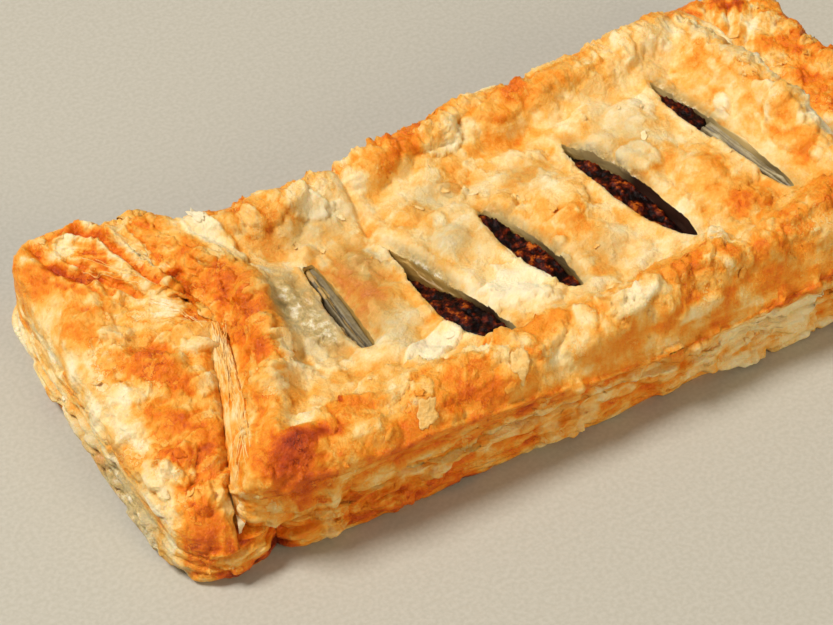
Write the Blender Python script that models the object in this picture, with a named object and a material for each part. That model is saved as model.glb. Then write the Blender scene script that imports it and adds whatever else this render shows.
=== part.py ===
"""An oblong apple pie of puff pastry, built the way the real one is laid up.

A bottom crust carries a slab of apple filling in a shallow tray, and both of its ends stand up as
thick puffed strips. A slashed top crust lies on it between those strips and is sealed to it along
the two long sides. Metres, +Z up. The origin is at the middle of the underside, +X runs along the
pie, and -Y is the long side nearest to the viewer.
"""

import math

import bmesh
import bpy
from mathutils import Vector

# ---- driving dimensions -------------------------------------------------------------------------
LENGTH = 0.160
WIDTH = 0.075
GAP = 0.0003  # between pieces that touch

# Plan outline: where the long far side runs, as (x, y), and the nick in the near side
FAR_SIDE = (
    (-0.0800, 0.0362),
    (-0.0710, WIDTH / 2),
    (-0.0600, 0.0350),
    (-0.0480, 0.0310),
    (-0.0350, 0.0292),
    (-0.0150, 0.0288),
    (0.0000, 0.0308),
    (0.0120, 0.0326),
    (0.0260, 0.0298),
    (0.0420, 0.0310),
    (0.0620, 0.0348),
    (0.0800, 0.0340),
)
NEAR_BOW = 0.0010  # how much the near side draws in towards both ends
NICK_X = -0.0622
NICK_DEPTH = 0.0030
NICK_REACH = 0.0022
END_BOW = 0.0016  # how much each end draws in at its corners
CORNER_RADIUS = 0.0070

# Bottom crust
SEAM_Z = 0.0075  # where the top crust lies on the bottom one
FLOOR_THICKNESS = 0.0040
SEAM_PINCH = 0.0012  # both crusts draw in where they meet
PINCH_REACH = 0.0022
FOOT_ROUNDING = 0.0014
FOOT_HEIGHT = 0.0020

# Puffed end strips of the bottom crust
STRIP_HEIGHT = 0.0168
STRIP_ROUNDING = 0.0050
STRIP_NEAR_DROP = 0.0048  # the strip sinks towards the near corner
STRIP_FAR_RISE = 0.0012
STRIP_WALL = 0.0005  # how far its inner face leans
STRIP_INNER_ROUNDING = 0.0030

# Creases between the end strips and the top crust, as (y, x)
LEFT_CREASE = (
    (-0.0375, -0.0700),
    (-0.0310, -0.0676),
    (-0.0230, -0.0638),
    (-0.0150, -0.0604),
    (-0.0070, -0.0574),
    (0.0020, -0.0546),
    (0.0090, -0.0550),
    (0.0160, -0.0574),
    (0.0375, -0.0645),
)
RIGHT_CREASE = (
    (-0.0375, 0.0680),
    (-0.0200, 0.0672),
    (-0.0020, 0.0655),
    (0.0160, 0.0625),
    (0.0375, 0.0590),
)
CREASE_WIDTH = 0.0008

# Top crust: heights along the pie, as (x, z). The ceiling is that of the space for the filling.
RIM_CREST = (
    (-0.0660, 0.0208),
    (-0.0100, 0.0206),
    (0.0250, 0.0226),
    (0.0500, 0.0236),
    (0.0680, 0.0230),
)
PANEL_LEVEL = (
    (-0.0660, 0.0160),
    (-0.0200, 0.0166),
    (0.0150, 0.0180),
    (0.0400, 0.0196),
    (0.0680, 0.0196),
)
CEILING = (
    (-0.0500, 0.0112),
    (-0.0120, 0.0116),
    (0.0240, 0.0134),
    (0.0560, 0.0138),
)
EDGE_INSET = 0.0006  # from the outline of the bottom crust
LID_CORNER_RADIUS = 0.0050
RIM_INSET = 0.0078  # crest line, from the edge
RIM_REACH = 0.0050  # half-width of the raised rim's bell
SHOULDER_REACH = 0.0068
SIDE_SHOULDER_DROP = 0.0062  # from the crest down to the top of the side wall
END_SHOULDER_DROP = 0.0050  # and to the crease
SUNK_PANEL = ((-0.0385, -0.0010), (0.0110, 0.0160), -0.0022)

# Apple filling
FILLING_MARGIN = 0.0120  # from the pie's long sides
FILLING_LEFT = -0.0490
FILLING_RIGHT = 0.0560
FILLING_RELIEF = 0.0009
RELIEF_PITCH = 0.0040
FILLING_CORNER = 0.0080

# The slashes through the top crust: far end, near end, width at the middle
SLASHES = (
    ((-0.0334, 0.0068), (-0.0338, -0.0160), 0.0036),
    ((-0.0196, 0.0040), (-0.0134, -0.0280), 0.0058),
    ((-0.0014, 0.0024), (0.0044, -0.0226), 0.0052),
    ((0.0203, 0.0100), (0.0278, -0.0232), 0.0058),
    ((0.0422, 0.0146), (0.0490, -0.0218), 0.0040),
)
SLASH_POINTS = 7  # along each lip
SLASH_CUTTER_HEIGHT = 0.020  # up from the seam, clear of the top

# Puffs of the top crust: centre, reach along X and Y, height
PUFFS = (
    SUNK_PANEL,
    ((-0.0265, -0.0040), (0.0050, 0.0110), 0.0010),
    ((-0.0075, 0.0000), (0.0060, 0.0075), 0.0022),
    ((-0.0040, -0.0220), (0.0080, 0.0060), 0.0012),
    ((0.0125, -0.0040), (0.0065, 0.0110), 0.0016),
    ((0.0330, 0.0050), (0.0065, 0.0100), 0.0028),
    ((0.0395, -0.0120), (0.0060, 0.0080), 0.0026),
    ((0.0560, 0.0050), (0.0045, 0.0130), 0.0022),
    ((0.0030, 0.0200), (0.0110, 0.0060), 0.0014),
    ((-0.0350, 0.0190), (0.0090, 0.0050), 0.0012),
    ((0.0460, 0.0240), (0.0140, 0.0060), 0.0010),
)

# ---- colours, as sRGB hex -----------------------------------------------------------------------
BOTTOM_CRUST_COLOUR = "E2A455"
TOP_CRUST_COLOUR = "EBA856"
FILLING_COLOUR = "4A1C0E"


# ---- plan outline -------------------------------------------------------------------------------
def bell(distance, reach):
    return math.exp(-((distance / reach) ** 2))


def between(low, high, share):
    return low + (high - low) * share


def smooth_line(stations, at):
    """A smooth curve through stations (position, value), held level beyond both ends."""
    last = len(stations) - 1
    at = min(max(at, stations[0][0]), stations[last][0])
    i = max(n for n in range(last) if stations[n][0] <= at)
    (p0, v0), (p1, v1) = stations[i], stations[i + 1]
    before, after = stations[max(i - 1, 0)], stations[min(i + 2, last)]
    slope0 = (v1 - before[1]) / (p1 - before[0])
    slope1 = (after[1] - v0) / (after[0] - p0)
    run = p1 - p0
    t = (at - p0) / run
    return (
        v0 * (1 + 2 * t) * (1 - t) ** 2
        + slope0 * run * t * (1 - t) ** 2
        + v1 * t * t * (3 - 2 * t)
        + slope1 * run * t * t * (t - 1)
    )


def near_side(x):
    return -WIDTH / 2 + NEAR_BOW * (2 * x / LENGTH) ** 2


def nicked_near_side(x):
    return near_side(x) + NICK_DEPTH * bell(x - NICK_X, NICK_REACH)


def far_side(x):
    return min(smooth_line(FAR_SIDE, x), WIDTH / 2)


def end_x(y, side):
    """The left (side -1) or right (side 1) end of the pie."""
    return side * (LENGTH / 2 - END_BOW * (2 * y / WIDTH) ** 2)


def crease_x(y, side):
    """The line where the top crust stops short of an end strip."""
    return smooth_line(LEFT_CREASE if side < 0 else RIGHT_CREASE, y)


def corner_inset(from_end, radius):
    """How far a round corner has drawn the long side in, at this distance from the end."""
    across = radius - min(max(from_end, 0.0), radius)
    return radius - math.sqrt(radius**2 - across**2)


def rounding(depth, reach, drop):
    """The drop of a quarter-round edge: all of it at the edge, none at reach inside it."""
    share = 1 - min(max(depth / reach, 0.0), 1.0)
    return drop * (1 - math.sqrt(1 - share * share))


def wall_inset(z):
    """How far the side wall lies inside the outline at this height: in at the foot and seam."""
    foot = FOOT_ROUNDING * max(1 - z / FOOT_HEIGHT, 0.0)
    return foot + SEAM_PINCH * bell(z - SEAM_Z, PINCH_REACH)


# ---- heights ------------------------------------------------------------------------------------
def panel_height(x, y):
    """The slashed middle of the top crust, without its rim."""
    height = smooth_line(PANEL_LEVEL, x)
    for (at_x, at_y), (reach_x, reach_y), rise in PUFFS:
        height += rise * bell(x - at_x, reach_x) * bell(y - at_y, reach_y)
    return height


def lid_height(x, y, side_depth, end_depth):
    """The top crust's upper face, at these depths inside its long sides and its ends."""
    nearest = min(side_depth, end_depth)
    rim = max(bell(depth - RIM_INSET, RIM_REACH) for depth in (side_depth, end_depth))
    panel = panel_height(x, y)
    crest = panel + (smooth_line(RIM_CREST, x) - panel) * rim
    drop = SIDE_SHOULDER_DROP if side_depth < end_depth else END_SHOULDER_DROP
    return crest - rounding(nearest, SHOULDER_REACH, drop)


def strip_height(y, outer_depth, inner_depth):
    """An end strip's upper face, at these depths inside its outer edges and its crease."""
    along = 2 * y / WIDTH
    tilt = STRIP_FAR_RISE * max(along, 0.0) - STRIP_NEAR_DROP * max(-along, 0.0) ** 2
    drop = rounding(outer_depth, STRIP_ROUNDING, STRIP_ROUNDING)
    inner_drop = rounding(inner_depth, STRIP_INNER_ROUNDING, STRIP_INNER_ROUNDING)
    return STRIP_HEIGHT + tilt - max(drop, inner_drop)


# ---- making solids ------------------------------------------------------------------------------
def lattice_block(name, stops, rule, collection):
    """A cube cut at stops along each axis, with each point (u, v, w) from 0 to 1 moved by a rule."""
    bpy.ops.mesh.primitive_cube_add(size=1, location=(0, 0, 0))
    block = bpy.context.object
    block.name = name
    block.data.name = name
    mesh = bmesh.new()
    mesh.from_mesh(block.data)
    bmesh.ops.translate(mesh, verts=mesh.verts, vec=(0.5, 0.5, 0.5))
    for axis, cuts in enumerate(stops):
        normal = Vector([float(i == axis) for i in range(3)])
        for cut in cuts:
            everything = mesh.verts[:] + mesh.edges[:] + mesh.faces[:]
            bmesh.ops.bisect_plane(
                mesh, geom=everything, plane_co=normal * cut, plane_no=normal
            )
    mesh.normal_update()
    underside = [f for f in mesh.faces if f.normal.z < -0.9]
    bmesh.ops.dissolve_faces(mesh, faces=underside, use_verts=False)
    for vert in mesh.verts:
        vert.co = rule(*vert.co)
    mesh.to_mesh(block.data)
    mesh.free()
    for old in block.users_collection:
        old.objects.unlink(block)
    collection.objects.link(block)
    return block


def even_stops(cells):
    return [i / cells for i in range(1, cells)]


def end_dense_stops(cells):
    """Even stops, closer at both ends where round corners turn."""
    middle = [s for s in even_stops(cells) if ROUND_STOPS[-1] < s < 1 - ROUND_STOPS[-1]]
    return list(ROUND_STOPS) + middle + [1 - s for s in reversed(ROUND_STOPS)]


def ceiling(x):
    """The top of the space for the filling."""
    return smooth_line(CEILING, x)


def settle(along, across):
    """The point whose x depends on its y and whose y depends on its x."""
    y = 0.0
    for _ in range(SETTLING_ROUNDS):
        x = along(y)
        y = across(x, y)
    return x, y


SETTLING_ROUNDS = 6
ROUND_STOPS = (0.003, 0.010, 0.021, 0.036)

# Shares of the bottom crust's length: the outer strip zones, the walls at the creases, the middle
STRIP_SHARE = 0.2
WALL_SHARE = 0.01
TINY = 1e-6
STRIP_STOPS = (0.015, 0.045, 0.09, 0.15, 0.23, 0.33, 0.45, 0.58, 0.70, 0.80, 0.90)


def bottom_stops():
    strip = [STRIP_SHARE * s for s in STRIP_STOPS]
    wall = [STRIP_SHARE, STRIP_SHARE + WALL_SHARE]
    middle_share = 1 - 2 * wall[1]
    middle = [wall[1] + middle_share * s for s in even_stops(26)]
    return strip + wall + middle + [1 - s for s in reversed(strip + wall)]


def strip_crest_x(y, side):
    """The top of an end strip's wall at the crease."""
    return crease_x(y, side) + side * (CREASE_WIDTH / 2 + STRIP_WALL)


def bottom_x(u, y):
    """Where share u of the bottom crust's length falls, with its walls following the creases."""
    side = -1 if u < 0.5 else 1
    share = u if side < 0 else 1 - u
    foot = crease_x(y, side) + side * CREASE_WIDTH / 2
    if share <= STRIP_SHARE:
        return between(end_x(y, side), strip_crest_x(y, side), share / STRIP_SHARE)
    if share <= STRIP_SHARE + WALL_SHARE:
        return between(strip_crest_x(y, side), foot, (share - STRIP_SHARE) / WALL_SHARE)
    other_foot = crease_x(y, -side) - side * CREASE_WIDTH / 2
    past_wall = share - STRIP_SHARE - WALL_SHARE
    return between(foot, other_foot, past_wall / (1 - 2 * (STRIP_SHARE + WALL_SHARE)))


def bottom_point(u, v, w):
    """The bottom crust: level between the creases, and standing up as a puffed strip beyond."""
    side = -1 if u < 0.5 else 1
    top, inset = SEAM_Z, 0.0

    def across(x, y):
        drawn_in = inset + corner_inset(abs(end_x(y, side) - x), CORNER_RADIUS)
        return between(nicked_near_side(x) + drawn_in, far_side(x) - drawn_in, v)

    x, y = settle(lambda y: bottom_x(u, y), across)
    outer_depth = abs(end_x(y, side) - x)
    if min(u, 1 - u) <= STRIP_SHARE + TINY:
        drawn_in = corner_inset(outer_depth, CORNER_RADIUS)
        from_sides = min(y - nicked_near_side(x), far_side(x) - y) - drawn_in
        crest_depth = abs(x - strip_crest_x(y, side))
        top = strip_height(y, min(from_sides, outer_depth), crest_depth)
    z = top * w
    inset = wall_inset(z)
    y = across(x, y)
    x -= side * inset * max(1 - outer_depth / CORNER_RADIUS, 0.0)
    return Vector((x, y, z))


def lid_point(u, v, w):
    """The top crust: pinched in where it lies on the bottom one, with a rounded shoulder above."""

    def ends(y):
        return crease_x(y, -1) + CREASE_WIDTH / 2, crease_x(y, 1) - CREASE_WIDTH / 2

    def sides(x, y):
        left, right = ends(y)
        drawn_in = EDGE_INSET + corner_inset(min(x - left, right - x), LID_CORNER_RADIUS)
        return near_side(x) + drawn_in, far_side(x) - drawn_in

    x, y = settle(lambda y: between(*ends(y), u), lambda x, y: between(*sides(x, y), v))
    near, far = sides(x, y)
    left, right = ends(y)
    top = lid_height(x, y, min(y - near, far - y), min(x - left, right - x))
    z = between(SEAM_Z + GAP, top, w)
    pinch = wall_inset(z)
    return Vector((x, between(near + pinch, far - pinch, v), z))


def filling_rule(low_z, height, grow, relief):
    """The slab of filling up to a height that varies along it, or with grow the space for it."""
    left, right = FILLING_LEFT - grow, FILLING_RIGHT + grow
    radius = FILLING_CORNER + grow

    def rule(u, v, w):
        x = between(left, right, u)
        across = max(radius - min(x - left, right - x), 0.0)
        rounded = radius - math.sqrt(max(radius**2 - across**2, 0.0))
        margin = FILLING_MARGIN - grow + rounded
        y = between(-WIDTH / 2 + margin, far_side(x) - margin, v)
        dimple = math.sin(x / RELIEF_PITCH) * math.cos(y / RELIEF_PITCH + x / (2 * RELIEF_PITCH))
        return Vector((x, y, between(low_z, height(x) - relief * (1 + dimple) / 2, w)))

    return rule


def filling_stops(across, upward):
    return end_dense_stops(18), even_stops(across), even_stops(upward)


def slash_cutter(name, slash, collection):
    """A lens-shaped prism, pointed at both ends, that cuts one slash through the top crust."""
    far_end, near_end = (Vector((x, y, 0)) for x, y in slash[:2])
    run = near_end - far_end
    across = Vector((-run.y, run.x, 0)).normalized()
    lip = []
    for i in range(SLASH_POINTS):
        share = i / (SLASH_POINTS - 1)
        half = slash[2] / 2 * math.sin(math.pi * share) ** 0.6
        lip.append((far_end + run * share, across * half))
    ring = [p + side for p, side in lip] + [p - side for p, side in lip[-2:0:-1]]
    mesh = bmesh.new()
    corners = [mesh.verts.new(p + Vector((0, 0, SEAM_Z))) for p in ring]
    raised = bmesh.ops.extrude_face_region(mesh, geom=[mesh.faces.new(corners)])["geom"]
    bmesh.ops.translate(
        mesh,
        verts=[g for g in raised if isinstance(g, bmesh.types.BMVert)],
        vec=(0, 0, SLASH_CUTTER_HEIGHT),
    )
    bmesh.ops.recalc_face_normals(mesh, faces=mesh.faces)
    data = bpy.data.meshes.new(name)
    mesh.to_mesh(data)
    mesh.free()
    cutter = bpy.data.objects.new(name, data)
    collection.objects.link(cutter)
    return cutter


def cut_away(target, cutter):
    modifier = target.modifiers.new(f"cut_{cutter.name}", "BOOLEAN")
    modifier.operation = "DIFFERENCE"
    modifier.solver = "EXACT"
    modifier.object = cutter
    cutter.hide_render = True
    cutter.display_type = "WIRE"


# ---- materials ----------------------------------------------------------------------------------
def linear(hex_colour):
    """An sRGB hex colour as linear RGBA."""
    channels = [int(hex_colour[i : i + 2], 16) / 255 for i in (0, 2, 4)]
    return [c / 12.92 if c <= 0.04045 else ((c + 0.055) / 1.055) ** 2.4 for c in channels] + [1.0]


def material(name, hex_colour, roughness):
    made = bpy.data.materials.new(name)
    made.use_nodes = True
    shader = made.node_tree.nodes["Principled BSDF"]
    shader.inputs["Base Color"].default_value = linear(hex_colour)
    shader.inputs["Roughness"].default_value = roughness
    shader.inputs["Metallic"].default_value = 0.0
    return made


def finish(piece, finish_material):
    piece.data.materials.append(finish_material)
    piece.data.shade_smooth()
    piece.data.set_sharp_from_angle(angle=math.radians(40))


# ---- the pie ------------------------------------------------------------------------------------
def clear_scene():
    for obj in list(bpy.data.objects):
        bpy.data.objects.remove(obj)


def new_collection(name):
    made = bpy.data.collections.new(name)
    bpy.context.scene.collection.children.link(made)
    return made


def bottom_crust(pie, cutters):
    stops = (bottom_stops(), even_stops(14), even_stops(4))
    crust = lattice_block("bottom_crust", stops, bottom_point, pie)
    rule = filling_rule(FLOOR_THICKNESS, lambda x: 2 * SEAM_Z, GAP, 0.0)
    cut_away(crust, lattice_block("tray_space", filling_stops(1, 1), rule, cutters))
    finish(crust, material("baked_pastry", BOTTOM_CRUST_COLOUR, 0.6))


def top_crust(pie, cutters):
    stops = (end_dense_stops(42), even_stops(26), even_stops(4))
    crust = lattice_block("top_crust", stops, lid_point, pie)
    rule = filling_rule(SEAM_Z - GAP, ceiling, GAP, 0.0)
    cut_away(crust, lattice_block("lid_space", filling_stops(1, 1), rule, cutters))
    for number, slash in enumerate(SLASHES, 1):
        cut_away(crust, slash_cutter(f"slash_{number}", slash, cutters))
    finish(crust, material("browned_pastry", TOP_CRUST_COLOUR, 0.55))


def apple_filling(pie):
    rule = filling_rule(FLOOR_THICKNESS + GAP, lambda x: ceiling(x) - GAP, 0.0, FILLING_RELIEF)
    filling = lattice_block("apple_filling", filling_stops(12, 2), rule, pie)
    finish(filling, material("spiced_apple", FILLING_COLOUR, 0.35))


def main():
    clear_scene()
    pie = new_collection("apple_pie")
    cutters = new_collection("cutters")
    bottom_crust(pie, cutters)
    top_crust(pie, cutters)
    apple_filling(pie)


main()
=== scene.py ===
"""A slashed puff-pastry apple pie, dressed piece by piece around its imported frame.

Shapes are worked out in millimetres in the frame's own axes and turned to metres as each mesh is
made. +X runs along the pie, -Y is the long side nearest to the viewer, +Z is up.
"""

import math
from collections import namedtuple

import bmesh
import bpy
import numpy as np
from mathutils import Matrix, Vector
from mathutils.bvhtree import BVHTree
from mathutils.kdtree import KDTree


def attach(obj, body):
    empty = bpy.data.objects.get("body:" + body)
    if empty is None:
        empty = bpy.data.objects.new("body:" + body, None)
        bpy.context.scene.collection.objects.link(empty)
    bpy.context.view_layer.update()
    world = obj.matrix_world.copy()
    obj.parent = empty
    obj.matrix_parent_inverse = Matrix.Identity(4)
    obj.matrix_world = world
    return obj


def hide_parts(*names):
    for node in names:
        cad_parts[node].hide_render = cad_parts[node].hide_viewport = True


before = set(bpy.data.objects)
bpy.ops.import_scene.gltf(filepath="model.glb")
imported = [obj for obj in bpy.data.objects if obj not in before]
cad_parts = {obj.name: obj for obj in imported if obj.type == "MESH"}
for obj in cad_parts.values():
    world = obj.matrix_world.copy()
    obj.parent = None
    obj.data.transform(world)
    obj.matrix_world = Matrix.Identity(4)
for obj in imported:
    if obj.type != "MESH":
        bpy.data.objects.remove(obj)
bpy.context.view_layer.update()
MM = 0.001


# ---- number fields ------------------------------------------------------------------------------
DICE = np.random.default_rng(20)
SHUFFLE = np.tile(DICE.permutation(256), 2)
DIRECTIONS = DICE.normal(size=(256, 3))
DIRECTIONS /= np.linalg.norm(DIRECTIONS, axis=1)[:, None]
SEED_STEP = np.array([17.31, 5.17, 9.73])


def lattice_key(cell):
    """A number from 0 to 255 for each whole-numbered cell, scattered as if by chance."""
    x, y, z = (cell[..., i] & 255 for i in range(3))
    return SHUFFLE[SHUFFLE[SHUFFLE[x] + y] + z]


def waves(points, size, seed):
    """Smooth random waves from about -1 to 1. Size is their spacing in mm, one or one per axis."""
    spot = points / np.asarray(size, float) + seed * SEED_STEP
    cell = np.floor(spot).astype(int)
    part = spot - cell
    ease_in = part**3 * (part * (part * 6 - 15) + 10)
    total = np.zeros(len(points))
    for corner in np.ndindex(2, 2, 2):
        corner = np.array(corner)
        slope = DIRECTIONS[lattice_key(cell + corner)]
        weight = np.where(corner, ease_in, 1 - ease_in).prod(axis=1)
        total += weight * ((part - corner) * slope).sum(axis=1)
    return total * 1.7


def rough(points, size, seed, octaves=3, gain=0.5):
    """Waves with finer and finer waves on them."""
    size = np.asarray(size, float)
    return sum(gain**i * waves(points, size / 2.03**i, seed + 31 * i) for i in range(octaves))


def ridges(points, size, seed, octaves=3, gain=0.5):
    """Sharp crests from 0 to about 1, with finer ones on them."""
    size = np.asarray(size, float)
    crests = [
        gain**i * (1 - np.abs(waves(points, size / 2.03**i, seed + 31 * i))) ** 2
        for i in range(octaves)
    ]
    return sum(crests) / sum(gain**i for i in range(octaves))


def domes(points, size, seed, fill=0.8):
    """Round blisters of random height from 0 to 1, one in each cell of this size in mm."""
    spot = points / np.asarray(size, float) + seed * SEED_STEP
    cell = np.floor(spot).astype(int)
    cell[:, 2] = 0
    height = np.zeros(len(points))
    for dx in (-1, 0, 1):
        for dy in (-1, 0, 1):
            near = cell + np.array([dx, dy, 0])
            key = lattice_key(near)
            centre = near[:, :2] + 0.5 + 0.35 * DIRECTIONS[key][:, :2]
            away = ((spot[:, :2] - centre) ** 2).sum(axis=1) / fill**2
            tall = 0.25 + 0.75 * SHUFFLE[key] / 255
            height = np.maximum(height, tall * np.clip(1 - away, 0, 1) ** 0.7)
    return height


def bell(distance, reach):
    """1 at no distance, falling smoothly to 0.37 at the reach."""
    return np.exp(-((distance / reach) ** 2))


def between(low, high, share):
    return low + (high - low) * share


def ease(low, high, value):
    """0 below low, 1 above high, and a smooth rise between them."""
    share = np.clip((value - low) / (high - low), 0, 1)
    return share * share * (3 - 2 * share)


def smooth_line(stations, at):
    """A smooth curve through stations (position, value), held level beyond both ends."""
    spots, values = np.array(stations, float).T
    slopes = np.gradient(values, spots)
    at = np.clip(at, spots[0], spots[-1])
    i = np.clip(np.searchsorted(spots, at, side="right") - 1, 0, len(spots) - 2)
    run = spots[i + 1] - spots[i]
    t = (at - spots[i]) / run
    return (
        values[i] * (1 + 2 * t) * (1 - t) ** 2
        + slopes[i] * run * t * (1 - t) ** 2
        + values[i + 1] * t * t * (3 - 2 * t)
        + slopes[i + 1] * run * t * t * (t - 1)
    )


def to_path(x, y, path):
    """Each point's distance from a path of (x, y) stations, and how far along it is, 0 to 1."""
    path = np.array(path, float)
    steps = np.linalg.norm(np.diff(path, axis=0), axis=1)
    before = np.concatenate([[0], np.cumsum(steps)])
    best, along = np.full(np.shape(x), 1e9), np.zeros(np.shape(x))
    for i, (start, step) in enumerate(zip(path, steps)):
        run = (path[i + 1] - start) / step
        t = np.clip((x - start[0]) * run[0] + (y - start[1]) * run[1], 0, step)
        away = np.hypot(x - start[0] - t * run[0], y - start[1] - t * run[1])
        closer = away < best
        best = np.where(closer, away, best)
        along = np.where(closer, (before[i] + t) / before[-1], along)
    return best, along


# ---- the pie's outline, as the frame has it, in mm ----------------------------------------------
LENGTH, WIDTH = 160.0, 75.0

# The far side as (x, y), and the middle of each crease between an end and the top crust as (y, x)
FAR_SIDE = (
    (-80.0, 36.2), (-71.0, 37.5), (-60.0, 35.0), (-48.0, 31.0), (-35.0, 29.2), (-15.0, 28.8),
    (0.0, 30.8), (12.0, 32.6), (26.0, 29.8), (42.0, 31.0), (62.0, 34.8), (80.0, 34.0),
)
LEFT_CREASE = (
    (-37.5, -70.0), (-31.0, -67.6), (-23.0, -63.8), (-15.0, -60.4), (-7.0, -57.4), (2.0, -54.6),
    (9.0, -55.0), (16.0, -57.4), (37.5, -64.5),
)
RIGHT_CREASE = ((-37.5, 68.0), (-20.0, 67.2), (-2.0, 65.5), (16.0, 62.5), (37.5, 59.0))
CREASE_WIDTH = 0.8
NICK_X, NICK_DEPTH, NICK_REACH = -62.2, 3.0, 2.2  # in the near side, by the left crease
CORNER_RADIUS, LID_CORNER_RADIUS = 7.0, 5.0
SEAM_Z = 7.5  # where the top crust lies on the bottom crust

# A fold in the top crust, beyond the far end of the second slash
FOLD_PATH = ((-20.6, 8.4), (-19.6, 15.0), (-19.2, 21.0), (-20.2, 29.0))


def near_side(x):
    return -WIDTH / 2 + (2 * x / LENGTH) ** 2


def nicked_near_side(x):
    return near_side(x) + NICK_DEPTH * bell(x - NICK_X, NICK_REACH)


def far_side(x):
    return smooth_line(FAR_SIDE, x)


def end_x(y, side):
    return side * (LENGTH / 2 - 1.6 * (2 * y / WIDTH) ** 2)


def crease_x(y, side):
    return smooth_line(LEFT_CREASE, y) if side < 0 else smooth_line(RIGHT_CREASE, y)


def corner_inset(from_end, radius):
    across = radius - np.clip(from_end, 0, radius)
    return radius - np.sqrt(radius**2 - across**2)


def overhang(x):
    """How far the top crust has spread out over the near side of the bottom crust."""
    return 1.9 * ease(-64, -50, x) * ease(66, 52, x)


def quarter_round(depth, reach, drop):
    share = 1 - np.clip(depth / reach, 0, 1)
    return drop * (1 - np.sqrt(1 - share * share))


def settle(along, across):
    """The points whose x depends on their y and whose y depends on their x."""
    y = 0.0
    for _ in range(6):
        x = along(y)
        y = across(x, y)
    return x, y


# ---- the slashes --------------------------------------------------------------------------------
# Ends of each slash, its greatest width, how far it bows to the left, how much nearer than the
# middle it is widest (1 is at the middle), and how pointed its ends are
Slash = namedtuple("Slash", "far_end near_end width bow skew point")
SLASHES = (
    Slash((-33.2, 7.2), (-33.4, -15.6), 3.8, 0.4, 1.0, 0.18),
    Slash((-19.2, 3.4), (-11.6, -28.0), 6.6, 1.9, 1.6, 0.50),
    Slash((-1.6, 2.2), (4.2, -22.6), 5.6, 0.3, 1.1, 0.38),
    Slash((20.3, 9.8), (27.6, -23.2), 5.8, 0.6, 1.0, 0.60),
    Slash((42.2, 14.4), (48.8, -21.8), 4.0, 0.6, 1.0, 0.42),
)


def slash_axes(slash):
    """The slash's length, the unit vector along it and the one to its right, seen by the viewer."""
    run = np.subtract(slash.near_end, slash.far_end)
    length = math.hypot(*run)
    run = run / length
    return length, run, np.array([-run[1], run[0]])


def slash_swell(share, slash):
    return np.sin(np.pi * np.clip(share, 0, 1) ** slash.skew) ** slash.point


def to_slash(x, y, slash):
    """Distance outside a slash's lip, negative inside it, how far along, and -1 to 1 across it."""
    length, run, right = slash_axes(slash)
    x, y = x - slash.far_end[0], y - slash.far_end[1]
    along = x * run[0] + y * run[1]
    share = along / length
    swell = slash_swell(share, slash)
    across = x * right[0] + y * right[1] + slash.bow * swell
    past = np.maximum(np.maximum(-along, along - length), 0)
    side = np.clip(across / 1.5, -1, 1)
    return np.hypot(np.abs(across), past) - slash.width / 2 * swell, share, side


# ---- mesh making --------------------------------------------------------------------------------
def grid_faces(columns, rows):
    """Quads of a grid whose point (i, j) has the number i * rows + j."""
    i, j = np.meshgrid(np.arange(columns - 1), np.arange(rows - 1), indexing="ij")
    a = (i * rows + j).ravel()
    return np.stack([a, a + rows, a + rows + 1, a + 1], axis=1)


def rim_of_grid(columns, rows):
    """The grid's outer points in order, anticlockwise seen from above."""
    near = np.arange(columns) * rows
    right = (columns - 1) * rows + np.arange(rows)
    far = near[::-1] + rows - 1
    left = np.arange(rows)[::-1]
    return np.concatenate([near[:-1], right[:-1], far[:-1], left[:-1]])


def unit_grid(columns, rows):
    """Two tables of shares from 0 to 1, one that grows over the columns and one over the rows."""
    return np.meshgrid(np.linspace(0, 1, columns), np.linspace(0, 1, rows), indexing="ij")


def flat_points(x, y):
    """Tables of x and y as one list of points at no height."""
    return np.column_stack([x.ravel(), y.ravel(), np.zeros(x.size)])


def rim_points(top):
    """The outer points of a grid of points, in order."""
    return top.reshape(-1, 3)[rim_of_grid(*top.shape[:2])]


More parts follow.
